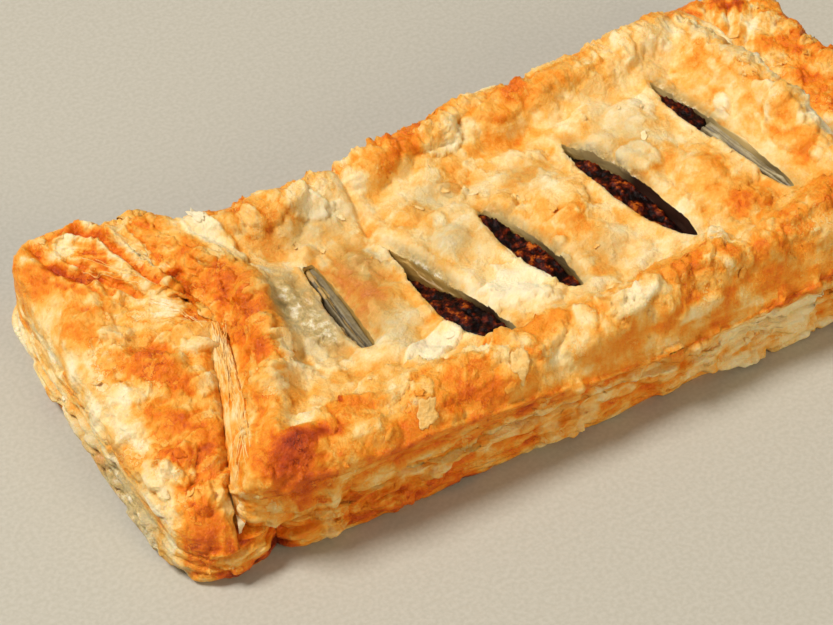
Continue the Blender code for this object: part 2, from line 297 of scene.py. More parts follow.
class Blanket:
    """A closed skin: a grid on top, a skirt of rows down from its rim, and a flat underside.

    Hidden names the first and the last column of a stretch that one flat face covers.
    """

    def __init__(self, top, skirt, hidden=None):
        columns, rows = top.shape[:2]
        points = top.reshape(-1, 3)
        faces = grid_faces(columns, rows)
        self.polygons = []
        if hidden is not None:
            first, last = hidden
            column = faces[:, 0] // rows
            faces = faces[(column < first) | (column >= last)]
            inner, cross = np.arange(first, last + 1) * rows, np.arange(1, rows - 1)
            hole = [inner, last * rows + cross, inner[::-1] + rows - 1, first * rows + cross[::-1]]
            self.polygons.append(np.concatenate(hole))
        rim = rim_of_grid(columns, rows)
        ring = [rim] + [len(points) + i * len(rim) + np.arange(len(rim)) for i in range(len(skirt))]
        for upper, lower in zip(ring, ring[1:]):
            band = np.stack([lower, np.roll(lower, -1), np.roll(upper, -1), upper], axis=1)
            faces = np.concatenate([faces, band])
        self.polygons.append(ring[-1][::-1])
        self.points = np.concatenate([points, *skirt])
        self.faces = faces
        self.top_count = len(points)

    def spread(self, values, below=0.0):
        """Values of the top grid as one list for all points, with one value for the skirt."""
        return np.concatenate([np.ravel(values), np.full(len(self.points) - self.top_count, below)])

    def normals(self):
        """A unit normal for each point, from the faces round it."""
        p = self.points[self.faces]
        face = np.cross(p[:, 2] - p[:, 0], p[:, 3] - p[:, 1])
        total = np.zeros_like(self.points)
        for k in range(4):
            for axis in range(3):
                total[:, axis] += np.bincount(self.faces[:, k], face[:, axis], len(self.points))
        size = np.linalg.norm(total, axis=1)
        return total / np.maximum(size, 1e-9)[:, None]

    def mesh(self, painted=None):
        """The mesh of the points in use, with the painted values as attributes of its points."""
        used = np.zeros(len(self.points), bool)
        used[self.faces] = True
        for polygon in self.polygons:
            used[polygon] = True
        number = np.cumsum(used) - 1
        faces = [tuple(f) for f in number[self.faces].tolist()]
        faces += [tuple(number[polygon].tolist()) for polygon in self.polygons]
        painted = {label: values[used] for label, values in (painted or {}).items()}
        return new_mesh(self.points[used], [], faces, painted)


def new_mesh(points, edges, faces, painted):
    """A mesh in metres from points in mm, with the painted values as attributes of its points."""
    data = bpy.data.meshes.new("skin")
    data.from_pydata((np.array(points) * MM).tolist(), edges, faces)
    for label, values in painted.items():
        paint(data, label, values)
    data.validate()
    data.update()
    return data


def new_piece(name, data, finish=None):
    """A piece in the scene with this mesh and this material."""
    data.name = name
    if finish:
        data.materials.append(finish)
    piece = bpy.data.objects.new(name, data)
    bpy.context.scene.collection.objects.link(piece)
    return piece


def points_of(data):
    """A mesh's points in mm."""
    flat = np.empty(len(data.vertices) * 3, np.float32)
    data.vertices.foreach_get("co", flat)
    return flat.reshape(-1, 3).astype(float) / MM


def painted_on(data, name):
    values = np.empty(len(data.vertices), np.float32)
    data.attributes[name].data.foreach_get("value", values)
    return values.astype(float)


def paint(data, name, values):
    layer = data.attributes.get(name) or data.attributes.new(name, "FLOAT", "POINT")
    layer.data.foreach_set("value", np.clip(values, 0, 1).astype(np.float32))


def outward_of_loop(loop):
    """Unit vectors pointing out of a closed loop in plan, anticlockwise seen from above."""
    run = np.roll(loop[:, :2], -1, axis=0) - np.roll(loop[:, :2], 1, axis=0)
    out = np.stack([run[:, 1], -run[:, 0], np.zeros(len(run))], axis=1)
    return out / np.linalg.norm(out, axis=1)[:, None]


def straight_down(row, share):
    """The profile of a skirt whose rows lie right below the loop."""
    return np.zeros(len(row))


def skirt_rows(loop, bottom_z, profile, count):
    """Rows from a loop down to bottom_z. The profile gives the distance out at each height."""
    out = outward_of_loop(loop)
    for _ in range(8):
        out = (np.roll(out, 1, axis=0) + out + np.roll(out, -1, axis=0)) / 3
    out /= np.linalg.norm(out, axis=1)[:, None]
    rows = []
    for i in range(1, count + 1):
        share = i / count
        row = loop.copy()
        row[:, 2] = between(loop[:, 2], bottom_z, share)
        rows.append(row + out * profile(row, share)[:, None])
    return rows


# ---- how puff pastry bakes ----------------------------------------------------------------------
LAYER_PITCH = 1.9  # mm between the baked layers that show at a side
LAYER_REACH, LAYER_THICKNESS = (1.6, 5.0), (0.2, 0.55)  # mm, of the layers strewn at random
LAYER_RAGGEDNESS = (0.4, 1.0)
BROWNEST = 0.66  # where the even baking levels off, so that only the browner spots go past it

Layer = namedtuple("Layer", "middle normal along reach squash thick tone ragged")

# Where the crust is browner (above 0) or paler than around it: the middle of each spot, its reach
# along X, Y and Z, and its strength. Two spots paint shade and light, as marked
BROWNING_AND_SHADE = (
    # the left end and its crease
    (-80, 10, 11, 4, 16, 6, -0.16), (-77, -37, 9, 5, 4, 6, 0.12), (-73.3, -21, 13.5, 3.4, 4, 4, 0.16),
    (-72, 5, 16, 5, 6, 5, -0.12), (-70.9, -16.5, 15, 4, 6, 5, 0.08), (-70, -39, 1.6, 5, 5, 1.9, 0.55),
    (-70, -34, 9, 8, 5, 6, 0.06), (-70, 24, 17, 6.5, 8, 6, 0.2),
    (-68.6, -35.8, 9.5, 1.8, 2.5, 3.5, 0.3), (-68, -19, 15, 4, 7, 6, 0.06),
    (-67, -33, 12, 4, 4, 5, -0.1), (-66.5, -5, 15, 3.5, 6, 5, 0.06), (-66, -21, 15, 3, 4, 9, 0.12),
    (-62, -36, 1.6, 2.4, 4, 2.4, 0.45), (-61.5, 8.5, 17, 6, 4, 9, -0.16),
    (-58.2, -32.8, 16, 5.2, 3.6, 9, 0.44), (-58, -23, 18, 1.8, 2.4, 9, 0.1),
    (-57.1, 13, 18, 2.2, 2.4, 9, 0.2), (-57, 20, 17, 6, 6, 9, -0.08), (-56.2, 8.6, 17, 2, 3, 9, 0.14),
    (-55, -19, 18, 3, 5, 9, -0.12), (-55, 22, 18, 6, 7, 9, 0.1), (-53.4, -28.6, 19, 3, 2.4, 9, -0.22),
    (-53, -12, 18, 3, 6, 9, 0.14),
    # the panels by the first two slashes
    (-51.6, -23.2, 18, 2.2, 2, 9, 0.12), (-50.5, -32.6, 17, 6, 1.8, 9, 0.3),
    (-50.5, 3, 18, 3, 9, 9, 0.14), (-48, -12, 17, 2.6, 8, 9, -0.1), (-46.8, 19, 18, 2, 9, 9, -0.24),
    (-45.7, -27.4, 18, 0.5, 0.8, 3, 0.5), (-43.2, -33, 18, 5, 2.4, 5, -0.1),
    # the spot at (-30, -38) darkens the low near side as painted shade
    (-39, -1, 14, 6, 9, 9, -0.1), (-32.6, 6.4, 14, 1.6, 2, 3, 0.35), (-30, -38, 3.5, 26, 4, 3.4, 0.14),
    (-29, -8, 16, 5, 9, 9, 0.05), (-28.5, -34, 18, 5, 3, 9, 0.14), (-28.4, -33.6, 18, 6, 2.4, 5, 0.08),
    (-27.5, -5, 17, 4.6, 11, 9, 0.08), (-27, -38, 0.6, 3.6, 3, 1, 0.6),
    (-26.5, -21.5, 16, 6, 3.6, 9, -0.2), (-24, 4, 17, 4, 4, 9, 0.08), (-23, 19, 18, 7, 4.5, 9, -0.24),
    (-22, 18, 18, 5, 3.6, 9, -0.06), (-17.9, -27.3, 17, 0.7, 0.7, 3, 0.4),
    # the middle panels
    (-8, -20, 17, 6, 5, 9, -0.16), (-8, -3, 16, 7, 7, 9, -0.1), (-7, -34, 17, 6, 3, 9, -0.16),
    (-4, -36, 17, 10, 3, 5, -0.08), (-4, -17, 16, 8.5, 6, 9, -0.18), (0, -33, 18, 9, 2.6, 5, -0.14),
    (10, -36.6, 12, 40, 2.2, 1.6, 0.18), (10, -32.5, 18, 4.5, 2, 4, -0.22),
    (10, -8, 18, 3.6, 4, 9, 0.13), (12, 15.5, 18, 8, 3, 9, 0.08), (14, 0, 18, 5, 7, 9, -0.06),
    # the spot at (17.1, -33) is painted light on the near slope, which faces away from the lamp
    (17.1, -33, 18, 6, 2.4, 5, -0.16), (18, -17, 18, 5, 4, 9, -0.12),
    # the panels by the last two slashes
    (24, -37, 9, 16, 4, 4, -0.14), (24, -30, 19, 9, 2.6, 5, -0.06), (24, 17.5, 20, 6, 3, 9, -0.06),
    (24.6, 18, 20, 6, 4, 9, -0.06), (26, -33, 18, 15, 4, 12, 0.04), (30, 2, 19, 8, 9, 9, 0.05),
    (33, -10, 19, 5, 5, 9, -0.1), (33, 6, 18, 7, 8, 9, -0.14), (34, -8, 19, 6, 8, 9, 0.02),
    (38, -32, 20, 9, 2.6, 5, -0.08), (40, -20, 19, 5, 4.5, 9, 0.24), (46.5, 21, 20, 6, 4, 9, -0.1),
    (46.5, 22, 20, 10, 5, 9, -0.3), (48, 18, 20, 12, 8, 9, 0.06),
    # the right end
    (55, -8, 20, 4, 6, 9, 0.16), (56, -24, 18, 12, 8, 12, 0.12), (57, 8, 19, 6, 16, 9, 0.08),
    (57, 12, 18, 4.5, 9, 9, -0.14), (62, 12, 18, 5, 9, 9, -0.14), (63.5, -8, 20, 4, 7, 9, -0.4),
    (64.6, -8, 19, 3.6, 9, 9, -0.42), (66, 14, 19, 4, 10, 9, -0.1), (68, 22, 18, 4, 5, 9, -0.14),
    (68.7, 26.9, 16, 2.6, 3, 5, 0.3), (72, 15, 16, 8, 22, 9, 0.1),
)

# Where the crust turns grey-tan, in the same form: greyish, hardly baked dough by the first slash,
# and painted shade on the shaded panels and low on the left wall
DOUGH_AND_SHADE_SPOTS = (
    (-40.5, -1, 15, 4.4, 8.5, 9, 1), (-38, -10, 15, 2.6, 5, 9, 0.7), (-9, -2, 16, 6, 5.5, 9, 0.4),
    (10, 6, 18, 5, 4, 9, 0.3), (12, -16.5, 18, 4, 4, 9, 0.3), (-26, 2, 17, 5, 7, 9, 0.55),
    (-28.5, -11, 17, 4, 7, 9, 0.45), (-30, 14, 18, 9, 3.6, 9, 0.35), (-6, 10, 18, 7, 3.6, 9, 0.35),
    (30, 3, 19, 5, 8, 9, 0.3), (-79, -14, 3.6, 5, 14, 4, 0.95),
)

# Where the torn walls of the slashes turn near black, in the same form: syrup stain, and painted
# shade where a wall lies deep in its slash
SYRUP_STAIN_AND_SHADE = (
    (-14.5, -20, 15, 6, 8, 12, 1.2), (4, -14, 15, 5, 9, 12, 0.9), (27, -17, 16, 5, 9, 12, 1.8),
    (24.5, -6, 16, 4, 6, 12, 1), (22, 4, 16, 4, 6, 12, 0.6), (44, 4, 17, 4, 7, 12, 0.9),
    (49, -16, 16, 3, 6, 12, 0.8),
)


def laminations(points, seed):
    """The height of the dough's layers on a side, and their tone: darker in the grooves between them as
    painted shade, and paler where a layer sticks out as painted light.
    """
    level = points[:, 2] / LAYER_PITCH + 1.1 * rough(points, (16, 16, 9), seed, 2)
    level += 0.3 * rough(points, (4, 4, 2.5), seed + 1, 2)
    layer = np.floor(level)
    part = level - layer
    stick_out = waves(np.column_stack([points[:, :2], layer * 7.7]), (9, 9, 1), seed + 2)
    parted = ease(-0.3, 0.6, waves(points, (20, 20, 12), seed + 3))
    groove = bell(part, 0.15) + bell(1 - part, 0.15)
    height = 0.6 * stick_out + 0.25 * np.sin(np.pi * part) - between(0.1, 0.5, parted) * groove
    return height, 0.10 * groove * parted - 0.10 * stick_out


def sheets(points, size, seed):
    """The height, in steps of one, and the tone of thin sheets that have torn away in places."""
    bent = points + 0.35 * np.stack([waves(points, 1.8, seed + 6 + i) for i in range(3)], axis=1)
    level = 2.4 * rough(bent, size, seed, 4, 0.5) + 40
    step = np.floor(level)
    part = level - step
    edge = bell(part - 0.16, 0.08)
    tone = SHUFFLE[step.astype(int) & 255] / 255 - 0.5
    return step - 40 + ease(0.0, 0.14, part) + 0.45 * edge, tone - 0.4 * edge


def baked_relief(points, flaky, seed):
    """The swell and the pillows of a baked top, and the blisters, ridges and grain on it, in mm."""
    swell = 0.8 * rough(points, 13, seed, 2) * between(0.6, 1, flaky)
    bent = points + 0.9 * np.stack([waves(points, 5, seed + 6 + i) for i in range(3)], axis=1)
    pillows = np.abs(waves(bent, (8.5, 7.0, 7.0), seed + 9)) - 0.35
    blisters = domes(points, 4.6, seed + 2, 0.85) + 0.5 * domes(points, 2.3, seed + 3, 0.8)
    crumble = ridges(bent, (3.6, 2.4, 3), seed + 4, 3, 0.6) - 0.55
    wrinkles = ridges(bent, (5.0, 1.4, 2), seed + 8, 2, 0.5) - 0.55
    grain = rough(points, 0.9, seed + 5, 2)
    fine = between(0.12, 0.34, flaky) * blisters + between(0.04, 0.50, flaky) * crumble
    fine += between(0.20, 0.30, flaky) * wrinkles + between(0.02, 0.10, flaky) * grain
    return swell, pillows, fine


def lay(points, layers, seed):
    """The height and the tone that thin torn layers, one over another, add to a surface."""
    ragged = 0.42 * rough(points, 4.2, seed, 4, 0.6)
    height, tone = np.zeros(len(points)), np.zeros(len(points))
    for layer in layers:
        away = points - layer.middle
        near = np.flatnonzero((np.abs(away) < layer.reach * 1.7).all(axis=1))
        away = away[near]
        u = away @ layer.along / layer.reach
        v = away @ np.cross(layer.normal, layer.along) / (layer.reach * layer.squash)
        w = away @ layer.normal / layer.reach
        radius = np.sqrt(u * u + v * v + w * w)
        inside = (1 - radius + layer.ragged * ragged[near]) * layer.reach * layer.squash
        body = ease(0, 0.3, inside)
        curled = bell(inside - 0.5, 0.45)
        gap = bell(inside + 0.25, 0.3)
        height[near] += layer.thick * (body + 0.4 * curled - 0.35 * gap)
        # the gap just outside each layer's edge is painted browner, as painted shade
        tone[near] = between(tone[near], layer.tone, 0.85 * body) + 0.08 * gap
    return height, tone


def random_layers(points, normals, weight, count, tone, seed):
    """Torn layers strewn over a surface where the weight is high, with tones from this range."""
    dice = np.random.default_rng(seed)
    layers = []
    for at in dice.choice(len(points), count, p=weight / weight.sum()):
        normal = normals[at]
        level = np.cross(normal, (0, 0, 1))
        tilt = np.linalg.norm(level)
        on_top = tilt < 0.7
        turn = dice.uniform(0, math.tau) if on_top else dice.normal(0, 0.15)
        level = level / tilt if tilt > 1e-3 else np.array([1.0, 0, 0])
        along = level * math.cos(turn) + np.cross(normal, level) * math.sin(turn)
        squash = dice.uniform(0.45, 0.9) if on_top else dice.uniform(0.16, 0.35)
        size = dice.uniform(*LAYER_REACH) * (1 if on_top else 1.5)
        drawn = [dice.uniform(*each) for each in (LAYER_THICKNESS, tone, LAYER_RAGGEDNESS)]
        layers.append(Layer(points[at], normal, along, size, squash, *drawn))
    return layers


def spots(points, places):
    """The sum of soft spots, each given by its middle, its reach along X, Y and Z, and strength."""
    total = np.zeros(len(points))
    for *place, strength in places:
        total += strength * np.exp(-(((points - place[:3]) / place[3:]) ** 2).sum(axis=1))
    return total


# Furrows and a hole in the far half of the left end: depth, width, how much browner, and path
FURROWS = (
    (1.3, 0.9, 0.34, (-74.2, 32.4), (-73.6, 28.7), (-72.4, 25.1), (-70.5, 22.3), (-69.0, 20.6)),
    (0.8, 0.6, 0.20, (-70.3, 26.4), (-68.3, 23.5), (-67.4, 20.2), (-66.8, 15.9)),
    (1.5, 0.8, 0.36, (-65.8, 31.7), (-63.3, 28.8), (-62.2, 25.3), (-61.1, 21.2), (-60.1, 17.4),
     (-58.9, 13.9)),
    (0.9, 0.7, 0.24, (-67.1, 20.8), (-65.7, 18.1), (-63.8, 15.6), (-62.3, 13.3)),
    (0.6, 0.9, 0.20, (-70.0, 35.5), (-67.6, 32.5), (-66.0, 32.7)),
    (1.2, 1.1, 0.50, (-56.4, 14.6), (-55.4, 14.6)),
)


def furrows(points):
    """The depth of the furrows, less the welts beside them, and how much browner they are."""
    wander = 0.4 * waves(points, 3.5, 95)
    depth, tone = np.zeros(len(points)), np.zeros(len(points))
    near = np.flatnonzero((points[:, 0] < -50) & (points[:, 1] > 8) & (points[:, 2] > 8))
    for deep, width, browner, *path in FURROWS:
        away, _ = to_path(points[near, 0], points[near, 1], path)
        away = np.maximum(away + wander[near], 0)
        bed, welt = bell(away, width), bell(away - 2.1 * width, width)
        depth[near] += deep * (bed - 0.45 * welt)
        tone[near] += browner * bed - 0.12 * welt
    return depth, tone


def end_ridges(points):
    """The folds that run round the far corner of the right end, and where they lie."""
    x, y = points[:, 0] - 66, points[:, 1] - 24
    across = 0.8 * x - 0.6 * y
    along = -0.6 * x - 0.8 * y
    level = (across + 0.02 * along**2) / 4.2 + 0.25 * rough(points, (7, 7, 7), 33, 2)
    mask = bell(across, 8) * bell(along, 13) * ease(10, 14, points[:, 2]) * (points[:, 0] > 0)
    return mask * (np.abs(np.sin(np.pi * level)) ** 0.7 - 0.5), mask


# Where the dough is pulled into fibres: middle, reach along and across them, their direction in
# degrees, and how high they stand
FIBRES = (
    ((-66.5, 23.0), (12.0, 6.5), -53, 0.45),
    ((-61.5, 8.5), (6.5, 4.2), -32, 0.60),
    ((-58.8, -12.0), (15.0, 2.6), 66, 0.65),
    ((-64.2, -29.0), (8.0, 2.6), 62, 0.60),
    ((-48.0, 20.0), (9.0, 2.2), 105, 0.40),
    ((66.0, 24.0), (10.0, 6.0), 230, 0.60),
)


def fibres(points):
    """The height and the tone of the pulled fibres, and where they lie, 0 to 1."""
    height, tone, mask = (np.zeros(len(points)) for _ in range(3))
    for i, (middle, (reach, spread), turn, rise) in enumerate(FIBRES):
        away = points - (*middle, 17)
        near = np.flatnonzero(np.hypot(away[:, 0], away[:, 1]) < 2 * reach)
        away = away[near]
        c, s = math.cos(math.radians(turn)), math.sin(math.radians(turn))
        along, across = away[:, 0] * c + away[:, 1] * s, away[:, 1] * c - away[:, 0] * s
        there = bell(along, reach) * bell(across, spread) ** 0.8
        across += 0.5 * waves(away, (6, 6, 6), 240 + i)
        crest = ridges(np.column_stack([along, across, 0 * along]), (8.0, 1.15, 1), 250 + i, 2, 0.5)
        height[near] += there * rise * (crest - 0.5)
        tone[near] += there * (0.5 - crest)
        mask[near] = np.maximum(mask[near], there)
    return height, tone, mask


# Where the browned skin of the left end stops above its pale wall: y, and the height plus the
# depth inside the end
SKIN_EDGE = (
    (-36.0, -2.0), (-33.0, 3.0), (-31.0, 8.0), (-28.4, 13.3), (-23.0, 18.4), (-16.0, 18.4),
    (-11.0, 20.0), (2.0, 19.6), (13.0, 15.0), (26.0, 12.0), (31.0, 10.0), (37.0, 8.0),
)


def pale_wall(points):
    """Where the left end shows its pale layers, 0 to 1."""
    x, y, z = points.T
    level = z + x - end_x(y, -1)
    below = smooth_line(SKIN_EDGE, y) + 3.2 * rough(points, 6, 81, 4, 0.6) - level
    return ease(-1.6, 1.4, below) * (x < 0)


# How deep the right lip of each slash rolls over, from its far end, 0, to its near end, 1
ROLLS = (
    ((0, 0.5), (1, 0.5)),
    ((0, 1.8), (0.35, 2.0), (0.5, 0.8), (1, 0.6)),
    ((0, 1.8), (0.6, 1.8), (1, 1.0)),
    ((0, 2.0), (0.5, 1.8), (0.62, 0.6), (1, 0.4)),
    ((0, 2.2), (0.4, 2.0), (0.5, 0.8), (1, 0.8)),
)


def near_lips(points):
    """Each point's distance from the nearest slash's lip, its side, left -1 and right 1, and how
    deep that lip rolls over."""
    lip, across, roll = np.full(len(points), 99.0), np.zeros(len(points)), np.zeros(len(points))
    for slash, rolls in zip(SLASHES, ROLLS):
        outside, share, side = to_slash(points[:, 0], points[:, 1], slash)
        nearer = np.abs(outside) < lip
        lip, across = np.where(nearer, np.abs(outside), lip), np.where(nearer, side, across)
        roll = np.where(nearer, smooth_line(rolls, share), roll)
    return lip, across, roll


def baked_crust(points, normals, rimness, layers):
    """How far the baked crust rises from its smooth shape, and how brown, doughy and flaky it is
    and how much of a side, as values to paint."""
    x, y, z = points.T
    up = ease(0.15, 0.7, normals[:, 2])
    lip, across, roll = near_lips(points)
    left, right = np.clip(-across, 0, 1), np.clip(across, 0, 1)
    patchy = ease(-0.6, 0.5, waves(points, 15, 9))
    flaky = np.clip(0.15 + between(0.45, 0.85, patchy) * rimness - 0.5 * bell(lip, 1.6), 0, 1)
    swell, pillows, fine = baked_relief(points, flaky, 1)
    torn, torn_tone = sheets(points, 9.0, 130)
    side, side_tone_and_shade = laminations(points, 11)
    height, tone = lay(points, layers, 60)
    folds, folded = end_ridges(points)
    threads, thread_tone, threaded = fibres(points)
    wall = pale_wall(points)
    sunk, sunk_tone = furrows(points)
    fold, _ = to_path(x, y, FOLD_PATH)
    calm = 1 - 0.7 * np.maximum(folded, threaded)

    fine = fine * between(1.0, 0.45, ease(0.9, 0.55, normals[:, 2]))
    torn = torn * between(0.12, 0.40, flaky) * (1 - 0.7 * bell(lip, 1.5))
    pillowed = between(1.9, 1.3, flaky) * pillows * (1 - 0.7 * bell(lip, 1.5))
    relief = up * ((swell + pillowed + fine + torn) * calm + 1.5 * folds + threads)
    relief += (1 - up) * (side * ease(17, 10, z) + 0.12 * fine) + height * calm - sunk
    relief += up * left * (0.6 * bell(lip - 0.9, 1.1) - 0.2 * bell(lip, 0.5))
    relief += up * right * (0.4 * bell(lip - 3.0, 1.6) - quarter_round(lip, 2.0, roll))
    relief += up * (0.3 * bell(fold - 2, 1.2) - 0.9 * bell(fold, 0.6))
    relief -= 0.15 * wall
    relief *= 1 - 0.6 * ease(4.0, 1.5, np.abs(crease_x(y, 1) - x))
    relief *= between(0.55, 1.0, ease(0.5, 4.0, far_side(x) - y))

    # a browner band along the near shoulder, partly painted shade where it turns away from the lamp
    shoulder = ease(4.6, 2.4, y - near_side(x) + overhang(x))
    shoulder *= ease(10.0, 13.5, z) * ease(-66, -58, x)
    patch = ease(-0.3, 0.3, rough(points, 6.0, 26, 3)) - 0.5
    bake = between(0.31, 0.43, rimness) + 0.12 * rough(points, 10.0, 21, 2)
    bake += between(0.13, 0.16, rimness) * patch
    bake += 0.14 * torn_tone + 0.07 * rough(points, 2.2, 22, 2)
    # on the rims the raised parts are browner; in the panels the raised parts are painted paler as
    # highlight and the hollows browner as painted shade
    bake += up * between(-0.24, 0.26, rimness) * (fine - 0.1)
    bake += up * between(-0.16, 0.12, rimness) * pillows
    bake -= between(0.08, 0.20, ease(-10, 12, x)) * (1 - up) * ease(-26, -34, y)
    bake += tone + (1 - up) * side_tone_and_shade + up * (0.25 * folds + 0.5 * thread_tone - 0.08 * threaded)
    bake += sunk_tone + 0.17 * shoulder
    bake = BROWNEST - np.log1p(np.exp((BROWNEST - bake) * 9)) / 9
    # along the fold in the top crust the colour is painted browner, as painted shade in the crease
    bake += spots(points, BROWNING_AND_SHADE) + 0.14 * bell(fold, 1.2) - 0.06 * left * bell(lip, 1.6)
    pale = 0.24 + 0.12 * patch + 1.2 * side_tone_and_shade + 0.5 * tone + 0.22 * rough(points, (6, 6, 3), 83, 3)
    bake = between(bake, pale, wall)
    # the grey-tan on the rolled right lip of each slash is painted shade, where the lip curls down into
    # the slash
    dough_and_shade = spots(points, DOUGH_AND_SHADE_SPOTS) + 0.4 * roll * right * bell(lip, 1.5)
    shown = between(0.10, 1.0, flaky) * (1 - 0.8 * bell(lip, 0.8))
    return relief, {"bake": bake, "dough_and_shade": dough_and_shade, "flaky": shown, "side": 1 - up}


# ---- top crust ----------------------------------------------------------------------------------
# Heights along X: the crest round the rim, the near side's edge, the panels between the slashes,
# and the ceiling over the filling
RIM_CREST = ((-66, 20.8), (-10, 20.6), (25, 22.6), (50, 23.6), (68, 23.0))
NEAR_EDGE = (
    (-66, 18.0), (-46, 17.4), (-30, 16.8), (-14, 15.4), (0, 13.4), (18, 12.2), (32, 13.0), (46, 14.8),
    (68, 16.0),
)
PANEL_LEVEL = ((-66, 16.0), (-20, 16.6), (15, 18.0), (40, 19.6), (68, 19.6))
CEILING = ((-50, 11.2), (-12, 11.6), (24, 13.4), (56, 13.8))
CREST_INSET = 7.8  # how far inside the edge the rim is highest
CREASE_ROUND, CREASE_DROP = 7.2, 6.4  # how the top crust falls away to a crease
BAKED_ON = 0.85  # the share of a crease that has baked shut at its far end

# Puffs and dents: centre, reach along X and Y, height
PUFFS = (
    (-38.5, -1, 11, 16, -2.4), (-39.4, -0.5, 3.4, 8, 3.6), (-32.4, 9.4, 1.7, 1.7, 1.4),
    (-26.5, -4, 4.5, 11, 1.8), (-22, 3, 4, 5, -1), (-45, -24, 5, 4, 1.4), (-33, -24, 4.5, 4, 1.2),
    (-7.5, 0, 6, 7.5, 2.2), (-4, -22, 8, 6, 1.2), (12.5, -4, 6, 11, 2.2), (33, 5, 6.5, 10, 2.8),
    (30, 16, 7, 3, -1.2), (-2, 10, 6, 3, -1), (39.5, -12, 6, 8, 2.6), (56, 5, 4.5, 13, 2.2),
    (3, 20, 11, 6, 1.4), (-35, 19, 9, 5, 1.2), (46, 24, 14, 6, 1), (-13, 20, 3.5, 6, -1),
    (12, 15.5, 9, 2.6, -1.3), (-44, 4, 2.2, 3, -2), (-33, 9.6, 2.2, 2.2, 1.1),
)

# Big thin layers that the viewer can pick out: middle, direction, half-length, squash, thickness,
# tone, how ragged
BIG_LAYERS = (
    (-25, -22, 22, 7.5, 0.42, 0.5, -0.2, 0.25), (-3.5, -16.5, 20, 9, 0.62, 0.5, -0.16, 0.8),
    (38.5, -13, 60, 10, 0.75, 0.4, 0.02, 1), (12.5, 1, 80, 10, 0.6, 0.3, 0, 1),
    (58, 12, 95, 12, 0.3, 0.5, -0.12, 0.5), (56.5, -9, 75, 8, 0.55, 0.5, -0.02, 0.5),
    (-46.5, 20, 105, 8.5, 0.26, 0.6, -0.2, 0.8), (-54, 5, 110, 7, 0.6, 0.8, 0.08, 0.4),
    (-36, -27, 10, 9, 0.45, 0.6, -0.02, 0.6), (-12, -31, 5, 8, 0.45, 0.6, 0.06, 0.6),
    (8, -33, 10, 5, 0.45, 0.5, -0.18, 0.8), (22, -28, 10, 10, 0.45, 0.6, 0.06, 0.5),
    (45, -28, 15, 9, 0.5, 0.6, 0.04, 0.5), (-31, 22, 20, 8, 0.5, 0.5, 0.02, 0.5),
    (0, 24, 10, 9, 0.45, 0.5, -0.04, 0.4), (28, 24, 0, 9, 0.45, 0.5, 0.02, 0.5),
)


def panel_height(x, y):
    height = smooth_line(PANEL_LEVEL, x)
    for at_x, at_y, reach_x, reach_y, rise in PUFFS:
        height = height + rise * bell(x - at_x, reach_x) * bell(y - at_y, reach_y)
    return height


def crease_depth(y):
    """How deep the creases are: 0 where the ends have baked on to the top crust, 1 where free."""
    return 1 - BAKED_ON * ease(2, 16, y)


def lid_height(x, y, side_depth, end_depth):
    shoulder = (y < 0) & (side_depth < CREST_INSET)
    at_side = bell(side_depth - CREST_INSET, np.where(shoulder, 60, 5))
    rim = np.maximum(at_side, bell(end_depth - CREST_INSET, 5))
    panel = panel_height(x, y)
    sunk_corner = 2.6 * bell(x + 63, 9) * bell(y - 30, 14) + 3.4 * bell(x - 64, 12) * bell(y - 33, 12)
    crest = panel + (smooth_line(RIM_CREST, x) - sunk_corner - panel) * rim
    near = (crest - smooth_line(NEAR_EDGE, x)) * (1 - np.clip(side_depth / CREST_INSET, 0, 1)) ** 2.5
    far = quarter_round(side_depth, 6.8, 6.2)
    at_end = quarter_round(end_depth, CREASE_ROUND, CREASE_DROP * crease_depth(y) + 0.6)
    return crest - np.maximum(np.where(y < 0, near, far), at_end)


def lid_plan(columns, rows):
    """The top crust's grid in plan, with each point's depth inside the long sides and the ends."""
    u, v = unit_grid(columns, rows)

    def ends(y):
        return crease_x(y, -1) + CREASE_WIDTH / 2, crease_x(y, 1) - CREASE_WIDTH / 2

    def sides(x, y):
        left, right = ends(y)
        drawn_in = 0.6 + corner_inset(np.minimum(x - left, right - x), LID_CORNER_RADIUS)
        return near_side(x) + drawn_in - overhang(x), far_side(x) - drawn_in

    x, y = settle(lambda y: between(*ends(y + 0 * u), u), lambda x, y: between(*sides(x, y), v))
    near, far = sides(x, y)
    left, right = ends(y)
    return x, y, np.minimum(y - near, far - y), np.minimum(x - left, right - x)


def lid_profile(row, share):
    """The lip of the browned skin, the slight hollow under it, and the seam."""
    swell = 0.35 * waves(row, 9, 3)
    tucked = (row[:, 1] < 0) * overhang(row[:, 0]) * ease(0.1, 1.0, share)
    return (
        0.5 * bell(share - 0.14, 0.12)
        - 0.3 * bell(share - 0.40, 0.12)
        + (0.2 + swell) * bell(share - 0.7, 0.22)
        - 0.5 * ease(0.8, 1.0, share)
        - tucked
    )


def top_crust_skin():
    """The smooth top crust, and how near each of its points is to the rim, 0 to 1."""
    columns, rows = 335, 172
    x, y, side_depth, end_depth = lid_plan(columns, rows)
    top = np.stack([x, y, lid_height(x, y, side_depth, end_depth)], axis=-1)
    blanket = Blanket(top, skirt_rows(rim_points(top), SEAM_Z + 0.3, lid_profile, 24))
    rimness = np.maximum(bell(side_depth - 5.5, 6.5), bell(end_depth - 5.5, 5.5))
    return blanket, blanket.spread(rimness, 1.0)


def big_layers(blanket, normals):
    """The listed layers, at the points of the top that are nearest to their places."""
    top = blanket.points[: blanket.top_count]
    layers = []
    for x, y, turn, *shape in BIG_LAYERS:
        at = np.argmin(np.hypot(top[:, 0] - x, top[:, 1] - y))
        turn = math.radians(turn)
        along = np.array([math.cos(turn), math.sin(turn), 0])
        along -= normals[at] * (along @ normals[at])
        layers.append(Layer(top[at], normals[at], along, *shape))
    return layers


